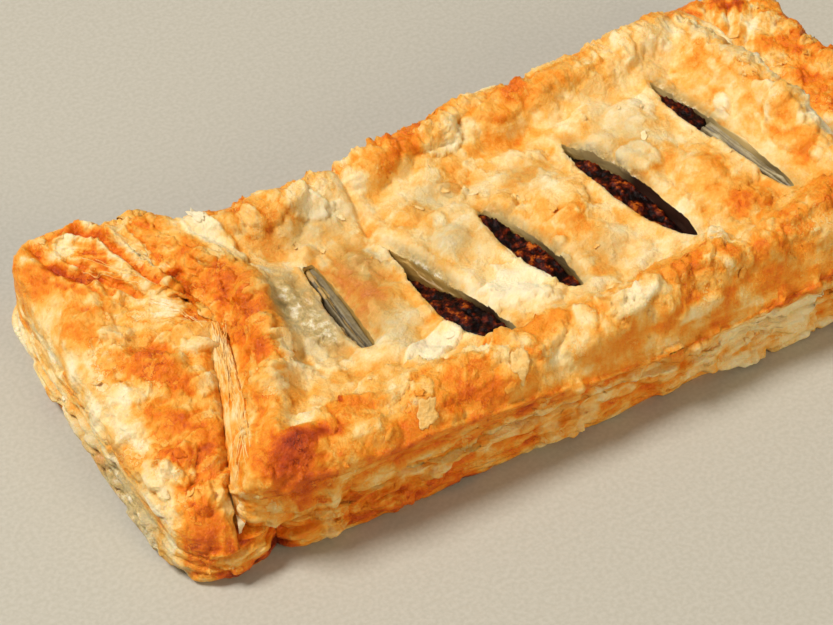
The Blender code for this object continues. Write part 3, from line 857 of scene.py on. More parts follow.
# ---- bottom crust -------------------------------------------------------------------------------
STRIP_HEIGHT = 16.8  # of the puffed strips at both ends
STRIP_LINES, WALL_LINES, MIDDLE_LINES = 54, 8, 300
WALL_LEAN = 0.5  # mm from the top of a crease's wall to its foot


def crest_x(y, side):
    """Where the puffed strip of an end stops and its wall falls into the crease."""
    return crease_x(y, side) + side * (CREASE_WIDTH / 2 + WALL_LEAN)


def strip_height(y, outer_depth, inner_depth):
    along = 2 * y / WIDTH
    tilt = 1.6 * np.maximum(along, 0) - 4.8 * np.maximum(-along, 0) ** 2
    outer = quarter_round(outer_depth, 5.4, 5.0)
    inner = quarter_round(inner_depth, 3.6, 3.4 * crease_depth(y))
    return STRIP_HEIGHT + tilt - np.maximum(outer, inner)


def bottom_line(v, kind, side, share):
    """One line of points across the bottom crust's top, at a share of the way in from its end."""

    def along(y):
        y = y + 0 * v
        if kind == "strip":
            return between(end_x(y, side), crest_x(y, side), share)
        if kind == "wall":
            return crest_x(y, side) - side * WALL_LEAN * share
        half = CREASE_WIDTH / 2
        return between(crease_x(y, -1) - half, crease_x(y, 1) + half, share)

    def across(x, y):
        drawn_in = corner_inset(np.abs(end_x(y, side) - x), CORNER_RADIUS)
        return between(nicked_near_side(x) + drawn_in, far_side(x) - drawn_in, v)

    x, y = settle(along, across)
    from_end = np.abs(end_x(y, side) - x)
    from_sides = np.minimum(y - nicked_near_side(x), far_side(x) - y)
    from_sides -= corner_inset(from_end, CORNER_RADIUS)
    z = np.full(len(v), SEAM_Z)
    if kind == "strip":
        z = strip_height(y, np.minimum(from_sides, from_end), np.abs(x - crest_x(y, side)))
    elif kind == "wall":
        z = between(strip_height(y, from_sides, 0 * y), SEAM_Z, share)
    return np.stack([x, y, z], axis=-1)


def bottom_side(row, share):
    """The bottom crust's rounded side, tucked in where it meets the floor."""
    belly = 0.9 * bell(row[:, 2] - 3.0, 2.4)
    tuck = 0.5 + 1.1 * ease(-0.3, 0.7, rough(row * (1, 1, 0), 9, 44, 2))
    return belly - tuck * (1 - ease(0, 1.3, row[:, 2]))


def bottom_crust_skin():
    """The smooth bottom crust. Its middle, under the top crust, is one flat face."""
    strip, middle = np.linspace(0, 1, STRIP_LINES), np.linspace(0, 1, MIDDLE_LINES)
    wall = np.linspace(0, 1, WALL_LINES + 2)[1:-1]
    lines = [("strip", -1, share) for share in strip] + [("wall", -1, share) for share in wall]
    lines += [("middle", -1 if share < 0.5 else 1, share) for share in middle]
    lines += [("wall", 1, share) for share in wall[::-1]]
    lines += [("strip", 1, share) for share in strip[::-1]]
    v = np.linspace(0, 1, 190)
    top = np.array([bottom_line(v, *line) for line in lines])
    first = STRIP_LINES + WALL_LINES
    skirt = skirt_rows(rim_points(top), 0.0, bottom_side, 42)
    return Blanket(top, skirt, (first, first + MIDDLE_LINES - 1))


# ---- the folded end -----------------------------------------------------------------------------
# The fold that the far half of the left end has baked into: how far it reaches to the right of the
# crease, and its near edge as (distance to the right of the crease, y)
FOLD_LEFT, FOLD_RIGHT = -10.0, 9.0
FOLD_EDGE = (
    (-10.0, 16.5), (-5.0, 13.2), (-3.4, 10.8), (-1.3, 9.4), (-0.4, 6.5), (0.5, 2.5), (1.8, 0.0),
    (10.0, -1.5),
)


def end_fold_skin():
    """The skin that joins both crusts over the far half of the left crease, with a curled lip."""
    columns, rows = 130, 150
    u, v = unit_grid(columns, rows)
    across = between(FOLD_LEFT, FOLD_RIGHT, u)
    edge = smooth_line(FOLD_EDGE, across)

    def along(y):
        return crease_x(y + 0 * u, -1) + across

    x, y = settle(along, lambda x, y: between(edge, far_side(x) - 0.3, v))
    side_depth = far_side(x) - 0.3 - y
    strip = strip_height(y, side_depth, 99.0)
    end_depth = np.maximum(across, 0)
    lid = lid_height(x, y, side_depth, end_depth)
    lid += quarter_round(end_depth, CREASE_ROUND, 7.0 - CREASE_DROP * BAKED_ON)
    z = between(strip, lid, ease(-2.5, 3.5, across))
    curl = ease(-4.5, -2.5, across) * ease(2.6, 1.4, across) * bell(y - edge, 1.6)
    inward = np.minimum(across - FOLD_LEFT, FOLD_RIGHT - across)
    inward = np.minimum(inward, (y - edge) * 1.2)
    covered = ease(0, 3.4, inward)
    z += 0.55 * covered - 1.7 * (1 - covered) * (1 - curl) + 1.1 * curl
    top = np.stack([x, y, z], axis=-1)
    rim = rim_points(top)
    out = outward_of_loop(rim)
    skirt = []
    for drop, inset in ((0.25, 0.0), (0.5, 0.5), (0.8, 1.6), (2.5, 3.0)):
        row = rim - out * inset
        row[:, 2] -= drop
        skirt.append(row)
    blanket = Blanket(top, skirt)
    return blanket, blanket.spread(curl)


# The frayed side of the top crust by the left crease: y, and how far it reaches left and right
FRAYED = (
    (-35.2, 0.1, 1.4), (-33.0, 0.0, 2.2), (-30.0, -0.6, 3.2), (-22.0, -1.3, 3.6),
    (-14.0, -1.2, 3.0), (-3.0, -1.4, 2.4), (4.5, -0.6, 0.8),
)
FRAYED_BOTTOM = 9.5


def frayed_skin(ground):
    """Stretched layers, torn into fibres, that close the near half of the left crease."""
    columns, rows = 40, 190
    u, v = unit_grid(columns, rows)
    y = between(FRAYED[0][0], FRAYED[-1][0], v)
    left = smooth_line([(at, reach) for at, reach, _ in FRAYED], y)
    right = smooth_line([(at, reach) for at, _, reach in FRAYED], y)
    x = crease_x(y, -1) + between(left, right, u)
    edges = []
    for column in (0, -1):
        heights = [ground.below(*spot)[0].z for spot in zip(x[column], y[column])]
        heights = np.pad(np.array(heights), 8, mode="edge")
        edges.append(np.convolve(heights, np.ones(17) / 17, mode="valid"))
    across = u * (right - left)
    flat = flat_points(across, y)
    flat[:, 0] += 0.7 * waves(flat, (3, 5, 1), 61)
    fibre = ridges(flat, (0.85, 5.0, 1), 62, 3, 0.6).reshape(u.shape)
    knots = domes(flat, (1.3, 1.9, 1), 63, 0.8).reshape(u.shape)
    edge = np.minimum(across, right - left - across)
    end = np.minimum(y - FRAYED[0][0], FRAYED[-1][0] - y)
    z = between(edges[0], edges[1], u**1.2) + 0.25 * np.sin(math.pi * u)
    z += 0.8 * (fibre - 0.55) + 0.45 * (knots - 0.3)
    z -= 0.7 * (1 - ease(0, 0.7, edge)) + 1.6 * (1 - ease(0, 3.0, end))
    top = np.stack([x, y, z], axis=-1)
    blanket = Blanket(top, skirt_rows(rim_points(top), FRAYED_BOTTOM, straight_down, 4))
    bake = 0.36 + 0.5 * (0.5 - fibre) + 0.10 * ease(-10, -34, y) + 0.20 * ease(0.6, 1, u)
    bake += 0.12 * ease(0.2, 0, u) + 0.12 * rough(flat, (3, 4, 1), 64, 2).reshape(u.shape)
    return blanket.mesh({"bake": blanket.spread(bake), "dough_and_shade": blanket.spread(0 * y)})


# ---- slashes and filling ------------------------------------------------------------------------
SHALLOW_SLASH = 0  # this one stops in the dough
SHALLOW_BOTTOM, SLASH_BOTTOM, ABOVE_CRUST = 12.9, 9.0, 27.0
WALL_LEANS = (0.02, 0.13)  # how much wider per mm of height a slash opens to the left and right
THINNEST = 0.15  # half of a slash's width at its two ends
FILLING_X = (-48.8, 55.8)
FILLING_MARGIN = 12.0  # from the near and far sides of the pie
FILLING_CORNER = 8.0
FILLING_BOTTOM = 4.4
LIP_STEPS = np.linspace(0.03, 0.97, 24)  # where the lips of a slash are measured, along it


def slash_cutter(number, slash):
    """A lens-shaped plug with a ragged wall, whose faces become the pastry's torn inside."""
    length, run, right = slash_axes(slash)
    even = np.linspace(0, 1, 62)
    along = 0.3 * even + 0.7 * (1 - np.cos(math.pi * even)) / 2
    swell = slash_swell(along, slash)
    half = np.maximum(slash.width / 2 * swell, THINNEST)
    spine = slash.far_end + along[:, None] * length * run - (slash.bow * swell)[:, None] * right
    left_lip = spine - half[:, None] * right
    right_lip = spine + half[:, None] * right
    loop = np.concatenate([left_lip, right_lip[::-1]])
    room = np.clip((np.concatenate([half, half[::-1]]) - THINNEST) / 1.6, 0, 1)
    leaning = np.repeat(WALL_LEANS, len(along))
    middle = np.concatenate([spine, spine[::-1]])
    bottom = SHALLOW_BOTTOM if number == SHALLOW_SLASH else SLASH_BOTTOM
    levels = np.linspace(bottom, ABOVE_CRUST, 48)
    rings = []
    if number == SHALLOW_SLASH:
        for share, rise in ((0.12, 1.3), (0.4, 1.15), (0.66, 0.6)):
            flat = middle + (loop - middle) * share
            humps = bottom + rise + 0.12 * rough(np.column_stack([flat, 0 * flat[:, 0]]), 1.6, 58)
            rings.append(np.column_stack([flat, humps]))
    for z in levels:
        ring = np.column_stack([loop, np.full(len(loop), z)])
        out = outward_of_loop(ring)
        flare = leaning * (z - 15) + 0.20 * rough(ring, (5, 5, 2.4), 40 + number)
        flare += 0.08 * rough(ring, (1.6, 1.6, 1.0), 50 + number)
        rings.append(ring + out * (flare * room)[:, None])
    count = len(loop)
    ring = np.arange(count)
    faces = []
    for level in range(len(rings) - 1):
        low, high = level * count + ring, (level + 1) * count + ring
        faces += np.stack([low, np.roll(low, -1), np.roll(high, -1), high], axis=1).tolist()
    faces.append(ring[::-1].tolist())
    faces.append(((len(rings) - 1) * count + ring).tolist())
    return np.concatenate(rings), faces


def filling_plan(columns, rows, grow):
    """The filling's grid in plan, grown by so many mm, with each point's depth inside its edge."""
    u, v = unit_grid(columns, rows)
    left, right = FILLING_X[0] - grow, FILLING_X[1] + grow
    x = between(left, right, u)
    from_end = np.minimum(x - left, right - x)
    margin = FILLING_MARGIN - grow + corner_inset(from_end, FILLING_CORNER)
    near, far = -WIDTH / 2 + margin, far_side(x) - margin
    y = between(near, far, v)
    return x, y, np.minimum(np.minimum(y - near, far - y), from_end)


def filling_room():
    """The space for the filling under the top crust, as a solid to cut away."""
    columns, rows = 26, 12
    x, y, _ = filling_plan(columns, rows, 0.4)
    top = np.stack([x, y, smooth_line(CEILING, x) + 0.2], axis=-1)
    room = Blanket(top, skirt_rows(rim_points(top), SEAM_Z - 1.0, straight_down, 2))
    faces = room.faces.tolist() + [p.tolist() for p in room.polygons]
    return room.points, faces


def cutter_piece(name, solids, material):
    points, faces = [], []
    for solid_points, solid_faces in solids:
        start = sum(len(p) for p in points)
        points.append(solid_points)
        faces += [[start + k for k in face] for face in solid_faces]
    data = bpy.data.meshes.new(name)
    data.from_pydata((np.concatenate(points) * MM).tolist(), [], faces)
    mesh = bmesh.new()
    mesh.from_mesh(data)
    bmesh.ops.recalc_face_normals(mesh, faces=mesh.faces)
    mesh.to_mesh(data)
    mesh.free()
    data.update()
    return new_piece(name, data, material)


def plain_mesh(piece):
    """Turns what the piece's modifiers make into its own mesh."""
    graph = bpy.context.evaluated_depsgraph_get()
    data = bpy.data.meshes.new_from_object(piece.evaluated_get(graph))
    piece.modifiers.clear()
    old, piece.data = piece.data, data
    bpy.data.meshes.remove(old)
    data.name = piece.name
    if not data.polygons:
        raise RuntimeError(f"{piece.name} came out empty")


def cut(piece, cutter):
    """Cuts a solid out of a piece and keeps the result as a plain mesh."""
    modifier = piece.modifiers.new("cut", "BOOLEAN")
    modifier.operation = "DIFFERENCE"
    modifier.solver = "EXACT"
    modifier.object = cutter
    modifier.material_mode = "TRANSFER"
    plain_mesh(piece)
    bpy.data.objects.remove(cutter)


def dress(data, points, relief, painted):
    """Raises and colours a cut mesh as its first points say, the walls of its cuts less and less."""
    tree = KDTree(len(points))
    for i, point in enumerate(points):
        tree.insert(point, i)
    tree.balance()
    now = points_of(data)
    found = [tree.find(point) for point in now]
    nearest = np.array([i for _, i, _ in found])
    away = np.array([distance for _, _, distance in found])
    now += relief[nearest] * (1 - ease(0.6, 4.0, away))[:, None]
    data.vertices.foreach_set("co", (now * MM).astype(np.float32).ravel())
    for label, values in painted.items():
        paint(data, label, values[nearest])
    data.update()


# How far the filling stays below the lips of each slash, from its far end, 0, to its near end, 1
FILLING_DEPTHS = (
    (),
    ((0, 5.0), (0.28, 4.0), (0.45, 1.8), (0.7, 0.6), (1, 0.0)),
    ((0, 1.6), (1, 1.5)),
    ((0, 2.4), (0.35, 1.6), (0.6, 1.8), (1, 2.6)),
    ((0, 1.6), (0.4, 1.6), (0.5, 4.0), (1, 4.4)),
)

# Tongues of dough that close a slash: its number, where they start and end along it, how far they
# lie below its lips, the dark gap they leave at the left, and how rough they are
TONGUES = ((0, 0.02, 0.99, 1.0, 0.7, 0.16), (4, 0.40, 0.99, 1.1, 1.0, 0.55))
TONGUE_BOTTOM = 11.5


def lip_height(ground, slash, at):
    """The smoothed height of the lower of a slash's lips at shares of its length."""
    length, run, right = slash_axes(slash)
    heights = []
    for share in LIP_STEPS:
        swell = slash_swell(share, slash)
        spine = slash.far_end + share * length * run - slash.bow * swell * right
        reach = slash.width / 2 * swell
        lips = [spine - (reach + 0.8) * right, spine + (reach + 2.4) * right]
        heights.append(min(ground.below(x, y)[0].z for x, y in lips))
    heights = np.array(heights)
    for _ in range(4):
        heights[1:-1] = (heights[:-2] + heights[1:-1] + heights[2:]) / 3
    return np.interp(at, LIP_STEPS, heights)


def filling_skin(ground):
    """Chunks of stewed apple in dark syrup, pushed up where a slash lets them."""
    columns, rows = 290, 126
    x, y, depth = filling_plan(columns, rows, 0.0)
    flat = flat_points(x, y)
    chunks = domes(flat, 3.6, 71, 0.75) + 0.5 * domes(flat, 1.9, 72, 0.7)
    pulp = 0.7 * ridges(flat, 1.9, 73, 3, 0.6) + 0.25 * rough(flat, 0.9, 74, 2)
    relief = (0.8 * chunks + pulp - 1.2).reshape(x.shape)
    level = smooth_line(CEILING, x)
    pushed = np.zeros(x.shape)
    for slash, depths in zip(SLASHES, FILLING_DEPTHS):
        if depths:
            outside, share, _ = to_slash(x, y, slash)
            rise = lip_height(ground, slash, share) - smooth_line(depths, share) - level
            pushed = np.maximum(pushed, rise * ease(0.7, -0.2, outside))
    z = level + relief * between(0.8, 1.0, pushed > 0.2) + pushed
    z -= 1.2 * (1 - ease(0, 2.5, depth))
    top = np.stack([x, y, z], axis=-1)
    blanket = Blanket(top, skirt_rows(rim_points(top), FILLING_BOTTOM, straight_down, 6))
    wet = 0.25 * chunks.reshape(x.shape) + 0.4 * (relief + 0.6)
    return blanket.mesh({"wet": blanket.spread(wet)})


def tongue_skin(ground, slash, start, end, depth, gap, coarse):
    """A streaked tongue of grey dough that fills a slash almost up to its lips."""
    columns, rows = 90, 26
    u, v = unit_grid(columns, rows)
    length, run, right = slash_axes(slash)
    share = between(start, end, u)
    swell = slash_swell(share, slash)
    reach = slash.width / 2 * swell
    across = between(-reach + gap * swell, reach + 0.1 * swell, v)
    flat = flat_points(across, share * length)
    streaks = ridges(flat, (0.9, 9.0, 1), 88, 2, 0.6) + 0.5 * rough(flat, (1.6, 5.0, 1), 89, 2)
    streaks = coarse * streaks.reshape(u.shape)
    edge = np.minimum(v, 1 - v)
    crack = v - 0.38 - 0.06 * np.sin(9 * u)
    z = lip_height(ground, slash, share) - depth + streaks - 0.9 * (1 - ease(0, 0.16, edge))
    z -= 0.5 * bell(crack, 0.07)
    aside = across - slash.bow * swell
    x, y = (slash.far_end[i] + share * length * run[i] + aside * right[i] for i in (0, 1))
    top = np.stack([x, y, z], axis=-1)
    blanket = Blanket(top, skirt_rows(rim_points(top), TONGUE_BOTTOM, straight_down, 6))
    # the crack and the edges of the tongue are painted darker, as painted shade in the gaps
    groove = bell(crack, 0.09) + (1 - ease(0, 0.2, v))
    return blanket.mesh({"pale": blanket.spread(0.20 + 0.8 * streaks - 0.4 * groove)})


# ---- nodes --------------------------------------------------------------------------------------
def linear(hex_colour):
    """An sRGB hex colour as linear RGBA."""
    channels = [int(hex_colour[i : i + 2], 16) / 255 for i in (0, 2, 4)]
    return [c / 12.92 if c <= 0.04045 else ((c + 0.055) / 1.055) ** 2.4 for c in channels] + [1.0]


def per_metre(size):
    """A texture's scale for details of this size in mm."""
    return 1 / (size * MM)


def feed(tree, made, inputs):
    """Sets a node's inputs, or links those given as another node's output or a list of outputs."""
    for name, value in inputs.items():
        for each in value if isinstance(value, list) else [value]:
            if isinstance(each, bpy.types.NodeSocket):
                tree.links.new(each, made.inputs[name])
            else:
                made.inputs[name].default_value = each


def node(tree, kind, inputs=None, out=0, stops=(), **settings):
    """Adds a node with its settings, colour stops (position, hex colour) and inputs, and returns
    one of its outputs, or the node itself where out is None."""
    made = tree.nodes.new(kind)
    for name, value in settings.items():
        setattr(made, name, value)
    if stops:
        elements = made.color_ramp.elements
        while len(elements) < len(stops):
            elements.new(0.5)
        for element, (position, colour) in zip(elements, stops):
            element.position = position
            element.color = linear(colour)
    feed(tree, made, inputs or {})
    return made if out is None else made.outputs[out]


# ---- loose and lifted pastry --------------------------------------------------------------------
class Ground:
    """The finished crusts as one surface, in mm, that small pieces are laid on."""

    def __init__(self, pieces):
        points, faces, bake = [], [], []
        for piece in pieces:
            start = len(points)
            points += points_of(piece.data).tolist()
            faces += [[start + k for k in face.vertices] for face in piece.data.polygons]
            bake += painted_on(piece.data, "bake").tolist()
        self.tree = BVHTree.FromPolygons(points, faces)
        self.bake = [bake[face[0]] for face in faces]

    def bake_at(self, point):
        return self.bake[self.tree.find_nearest(point)[2]]

    def below(self, x, y):
        point, normal, *_ = self.tree.ray_cast(Vector((x, y, 60)), Vector((0, 0, -1)))
        return point, normal

    def onto(self, point, normal):
        """Where a point comes to lie when it is pressed on to the surface."""
        found, *_ = self.tree.ray_cast(point + normal * 2.5, -normal, 5.5)
        return found or self.tree.find_nearest(point)[0]


# Flakes given one by one: place, length, width, direction, lift of the far end, and how much
# browner than the crust under them, or paler
FLAKES = (
    ((-34.4, -36.4), 4.4, 3.4, 62, 1.6, -0.20),
    ((-15.8, -35.4), 5.0, 3.2, 70, 0.9, -0.10),
    ((-12.6, -19.0), 4.2, 2.4, 200, 0.7, -0.08),
    ((62.8, 6.0), 4.0, 2.4, 0, 0.8, -0.12),
    ((-46.2, 24.0), 4.4, 2.2, 95, 0.6, -0.10),
)


def flake(ground, centre, normal, length, width, turn, lift, ragged, seed):
    """A thin torn piece of crust that lies on the ground with its far end lifted."""
    rings, around = 6, 26
    ahead = Vector((math.cos(turn), math.sin(turn), 0))
    ahead = (ahead - normal * ahead.dot(normal)).normalized()
    side = normal.cross(ahead)
    angle = np.linspace(0, math.tau, around, endpoint=False)
    circle = np.column_stack([np.cos(angle), np.sin(angle), 0 * angle])
    radius = 1 + ragged * rough(circle, 0.9, seed, 3, 0.65)
    upper, lower = [], []
    for ring in range(rings):
        share = (ring + 0.25) / (rings - 0.75)
        for k in range(around):
            u, v = share * radius[k] * circle[k, :2]
            flat = centre + ahead * (u * length / 2) + side * (v * width / 2)
            lying = ground.onto(flat, normal)
            up = 0.10 + lift * max(0.0, (u + 0.5) / 1.5) ** 1.8 + 0.10 * lift * v * v
            thick = between(0.18, 0.08, share)
            level = flat + normal * (centre - flat).dot(normal)
            base = lying.lerp(level, min(1.0, 0.3 * max(0.0, u + 0.5)))
            upper.append(base + normal * (up + thick))
            lower.append(base + normal * up)
    count = rings * around
    ring_faces = []
    for ring in range(rings - 1):
        for k in range(around):
            a, b = ring * around + k, ring * around + (k + 1) % around
            ring_faces.append((a, a + around, b + around, b))
    faces = ring_faces + [tuple(count + k for k in face[::-1]) for face in ring_faces]
    faces.append(tuple(range(around)))
    faces.append(tuple(count + k for k in range(around))[::-1])
    edge = (rings - 1) * around
    for k in range(around):
        a, b = edge + k, edge + (k + 1) % around
        faces.append((a, count + a, count + b, b))
    return upper + lower, faces


def flakes_mesh(ground, blankets):
    """Torn flakes of the top skin: those listed, and smaller ones in the flaky parts."""
    dice = np.random.default_rng(8)
    jobs = []
    for (x, y), length, width, turn, lift, tone in FLAKES:
        centre, normal = ground.below(x, y)
        normal = (normal + Vector((0, 0, 0.6))).normalized()
        tone += ground.bake_at(centre)
        jobs.append((centre, normal, length, width, math.radians(turn), lift, 0.36, tone))
    for blanket, count in blankets:
        points, normals = blanket.points, blanket.normals()
        weight = (points[:, 2] > 2.5) * ease(0.0, 0.5, normals[:, 2] + 0.3)
        weight *= near_lips(points)[0] > 2.5
        for at in dice.choice(len(points), count, p=weight / weight.sum()):
            length = dice.uniform(0.9, 2.6)
            width = length * dice.uniform(0.3, 0.7)
            lift = dice.uniform(0.1, 0.7) * length / 4
            centre, normal = Vector(points[at]), Vector(normals[at])
            turn, tone = dice.uniform(0, math.tau), ground.bake_at(centre) + dice.uniform(-0.10, 0.04)
            jobs.append((centre, normal, length, width, turn, lift, 0.34, tone))
    points, faces, tones = [], [], []
    for i, (*shape, tone) in enumerate(jobs):
        made = flake(ground, *shape, 300 + i)
        start = len(points)
        points += made[0]
        faces += [tuple(start + k for k in face) for face in made[1]]
        tones += [tone] * len(made[0])
    return new_mesh(points, [], faces, {"bake": np.array(tones), "dough_and_shade": np.zeros(len(points))})


# The sizes of the strands and of the shards, in metres, and the most shards per square metre
STRAND_SIZES = {"Thickness": 0.09 * MM}
SHARD_SIZES = {"Size": 1.6 * MM, "Thickness": 0.1 * MM, "Density": 150000.0}
SHARD_BEND = (1.6 * MM, 1.6 * MM, 1.2 * MM)

# Pulled strands of dough by the left crease: where they start and end, as a distance to the right
# of the crease and a y, how many there are, and how far apart at both ends
STRANDS = (
    ((0.6, 1.0), (1.2, -14.0), 4, 0.6, 1.0),
    ((0.8, -12.0), (1.8, -31.0), 4, 0.8, 1.2),
    ((2.8, -21.0), (1.0, -31.0), 4, 0.6, 0.6),
    ((-7.0, 24.0), (-3.8, 14.5), 5, 1.0, 0.8),
    ((-7.0, 10.5), (-1.5, 3.0), 5, 1.6, 0.8),
)


def strands_mesh(ground):
    """Wavy lines that lie on the ground and bridge small hollows, as loose edges."""
    dice = np.random.default_rng(14)
    points, edges = [], []
    for start, end, count, start_spread, end_spread in STRANDS:
        for _ in range(count):
            first = start + dice.normal(0, start_spread, 2) * (1, 1.6)
            last = end + dice.normal(0, end_spread, 2) * (1, 1.6)
            share = np.linspace(0, 1, 34) ** dice.uniform(0.8, 1.2)
            line = first + (last - first) * share[:, None]
            bend = dice.normal(0, 0.35) * np.sin(math.pi * share)
            bend += 0.16 * waves(flat_points(share * 6, 0 * share), 1, dice.integers(99))
            line[:, 0] += bend + crease_x(line[:, 1], -1)
            line[:, 0] = np.maximum(line[:, 0], 2.5 - LENGTH / 2)
            line[:, 1] = np.clip(line[:, 1], 2.5 - WIDTH / 2, far_side(line[:, 0]) - 2.0)
            heights = np.array([ground.below(x, y)[0].z for x, y in line])
            for _ in range(2):
                raised = (heights[:-2] + heights[2:]) / 2
                heights[1:-1] = np.maximum(heights[1:-1], between(heights[1:-1], raised, 0.6))
            number = len(points)
            points += np.column_stack([line, heights - 0.03]).tolist()
            edges += [(number + i, number + i + 1) for i in range(len(line) - 1)]
    bake = 0.32 + 0.12 * rough(np.array(points), 4, 15)
    return new_mesh(points, edges, [], {"bake": bake, "dough_and_shade": np.zeros(len(points))})


def tree_of_nodes(name, sizes):
    """An empty Geometry Nodes tree with a geometry input, named sizes in metres, and an output."""
    tree = bpy.data.node_groups.new(name, "GeometryNodeTree")
    tree.interface.new_socket("Geometry", in_out="INPUT", socket_type="NodeSocketGeometry")
    for label in sizes:
        tree.interface.new_socket(label, in_out="INPUT", socket_type="NodeSocketFloat")
    tree.interface.new_socket("Geometry", in_out="OUTPUT", socket_type="NodeSocketGeometry")
    return tree, node(tree, "NodeGroupInput", out=None).outputs


def end_tree(tree, geometry, material):
    whole = node(tree, "GeometryNodeRealizeInstances", {0: geometry})
    named = node(tree, "GeometryNodeSetMaterial", {"Geometry": whole, "Material": material})
    node(tree, "NodeGroupOutput", {0: named}, out=None)


def grown(piece, tree, sizes):
    """Runs a tree on a piece with these sizes, and keeps what it makes as a plain mesh."""
    modifier = piece.modifiers.new(tree.name, "NODES")
    modifier.node_group = tree
    for socket in tree.interface.items_tree:
        if socket.in_out == "INPUT" and socket.name in sizes:
            modifier[socket.identifier] = sizes[socket.name]
    plain_mesh(piece)
    return piece


def strand_tree(material):
    """Turns loose edges into round threads that thin out towards both ends."""
    tree, sizes = tree_of_nodes("pulled_strands", STRAND_SIZES)
    curves = node(tree, "GeometryNodeMeshToCurve", {0: sizes["Geometry"]})
    along = node(tree, "GeometryNodeSplineParameter", out="Factor")
    swell = node(tree, "ShaderNodeMath", {0: along, 1: math.pi}, operation="MULTIPLY")
    swell = node(tree, "ShaderNodeMath", {0: swell}, operation="SINE")
    swell = node(tree, "ShaderNodeMath", {0: swell, 1: 0.7, 2: 0.3}, operation="MULTIPLY_ADD")
    circle = {"Resolution": 5, "Radius": sizes["Thickness"]}
    ring = node(tree, "GeometryNodeCurvePrimitiveCircle", circle)
    sized = node(tree, "GeometryNodeSetCurveRadius", {0: curves, "Radius": swell})
    tube = {"Curve": sized, "Profile Curve": ring, "Fill Caps": True}
    end_tree(tree, node(tree, "GeometryNodeCurveToMesh", tube), material)
    return tree


def shard_tree(material, seed):
    """Strews thin bent shards over faces, as thick as the weight attribute says, each turned and
    sized by chance. They keep the colour of what they lie on."""
    tree, sizes = tree_of_nodes("crust_shards", SHARD_SIZES)
    weight = node(tree, "GeometryNodeInputNamedAttribute", {"Name": "shards"}, data_type="FLOAT")
    density = {0: weight, 1: sizes["Density"]}
    density = node(tree, "ShaderNodeMath", density, operation="MULTIPLY")
    faces = {"Mesh": sizes["Geometry"], "Density": density, "Seed": seed}
    spread = node(tree, "GeometryNodeDistributePointsOnFaces", faces, out=None).outputs

    sheet = {"Vertices X": 5, "Vertices Y": 4, "Size X": sizes["Size"], "Size Y": sizes["Size"]}
    sheet = node(tree, "GeometryNodeMeshGrid", sheet)
    place = node(tree, "GeometryNodeInputPosition")
    noise = {"Vector": place, "Scale": per_metre(1.1), "Detail": 1.0}
    noise = node(tree, "ShaderNodeTexNoise", noise, out="Color")
    bend = node(tree, "ShaderNodeVectorMath", {0: noise, 1: (0.5, 0.5, 0.5)}, operation="SUBTRACT")
    bend = node(tree, "ShaderNodeVectorMath", {0: bend, 1: SHARD_BEND}, operation="MULTIPLY")
    bent = node(tree, "GeometryNodeSetPosition", {"Geometry": sheet, "Offset": bend})
    solid = {"Mesh": bent, "Offset Scale": sizes["Thickness"], "Individual": False}
    solid = node(tree, "GeometryNodeExtrudeMesh", solid)
    back = node(tree, "GeometryNodeFlipFaces", {0: bent})
    closed = node(tree, "GeometryNodeJoinGeometry", {0: [solid, back]})
    merged = node(tree, "GeometryNodeMergeByDistance", {0: closed, "Distance": 1e-6})

    spin = {0: (-0.35, -0.35, 0.0), 1: (0.35, 0.35, math.tau), "Seed": seed + 1}
    spin = node(tree, "FunctionNodeRandomValue", spin, data_type="FLOAT_VECTOR")
    scale = {0: (0.25, 0.2, 0.8), 1: (1.3, 0.8, 1.2), "Seed": seed + 2}
    scale = node(tree, "FunctionNodeRandomValue", scale, data_type="FLOAT_VECTOR")
    placed = {"Points": spread["Points"], "Rotation": spread["Rotation"], "Instance": merged}
    placed = node(tree, "GeometryNodeInstanceOnPoints", placed | {"Scale": scale})
    turned = node(tree, "GeometryNodeRotateInstances", {"Instances": placed, "Rotation": spin})
    end_tree(tree, turned, material)
    return tree


# ---- materials ----------------------------------------------------------------------------------
def new_material(name):
    """A new material, its tree and shader, and each point's place in the piece."""
    made = bpy.data.materials.new(name)
    made.use_nodes = True
    tree = made.node_tree
    place = node(tree, "ShaderNodeTexCoord", out="Object")
    return made, tree, tree.nodes["Principled BSDF"], place


# Cream dough, gold, orange, brown and burnt sugar, as the crust darkens in the oven
BAKE_COLOURS = (
    (0.00, "F8E8C0"), (0.14, "F7DFAA"), (0.28, "F5CF88"), (0.42, "F2B350"), (0.54, "EE9420"),
    (0.66, "E67404"), (0.76, "CE5A04"), (0.86, "B84402"), (0.94, "9A3000"), (1.00, "722000"),
)

# Each from its darkest to its lightest: hardly baked dough, also laid on as painted shade, the torn
# layers in a slash, the same layers stained by syrup and darkened as painted shade, dough steamed in a
# slash, the apple and the floor
DOUGH_AND_SHADE_COLOURS = ((0.64, "7E6C40"), (0.84, "BEA66E"), (1.0, "ECE4CA"))
TORN_COLOURS = ((0.15, "4A2A10"), (0.5, "84622C"), (0.85, "B08C48"), (1.0, "D4B87A"))
SYRUP_AND_SHADE_COLOURS = ((0.15, "060101"), (0.7, "180703"), (1.0, "301608"))
STEAMED_COLOURS = ((0.12, "1C160A"), (0.4, "64563A"), (0.65, "8A7A56"), (0.95, "B4A67E"))
APPLE_COLOURS = ((0.15, "0C0201"), (0.42, "2C0802"), (0.70, "5E1A05"), (1.0, "B45A12"))
FLOOR_COLOURS = ((0.35, "B0AB9D"), (0.65, "B8B3A6"))

MOTTLE, GRAIN = 0.28, 0.16  # how much the coarse and the fine grain change how baked it looks

# The pale edge of a thin sheet and the painted shadow line below it: from and to a share of the sheet,
# and how much browner it is at both
SHEET_EDGE_AND_SHADOW_LINE = ((0.0, 0.14, -0.12, 0.0), (0.82, 1.0, 0.0, 0.16))


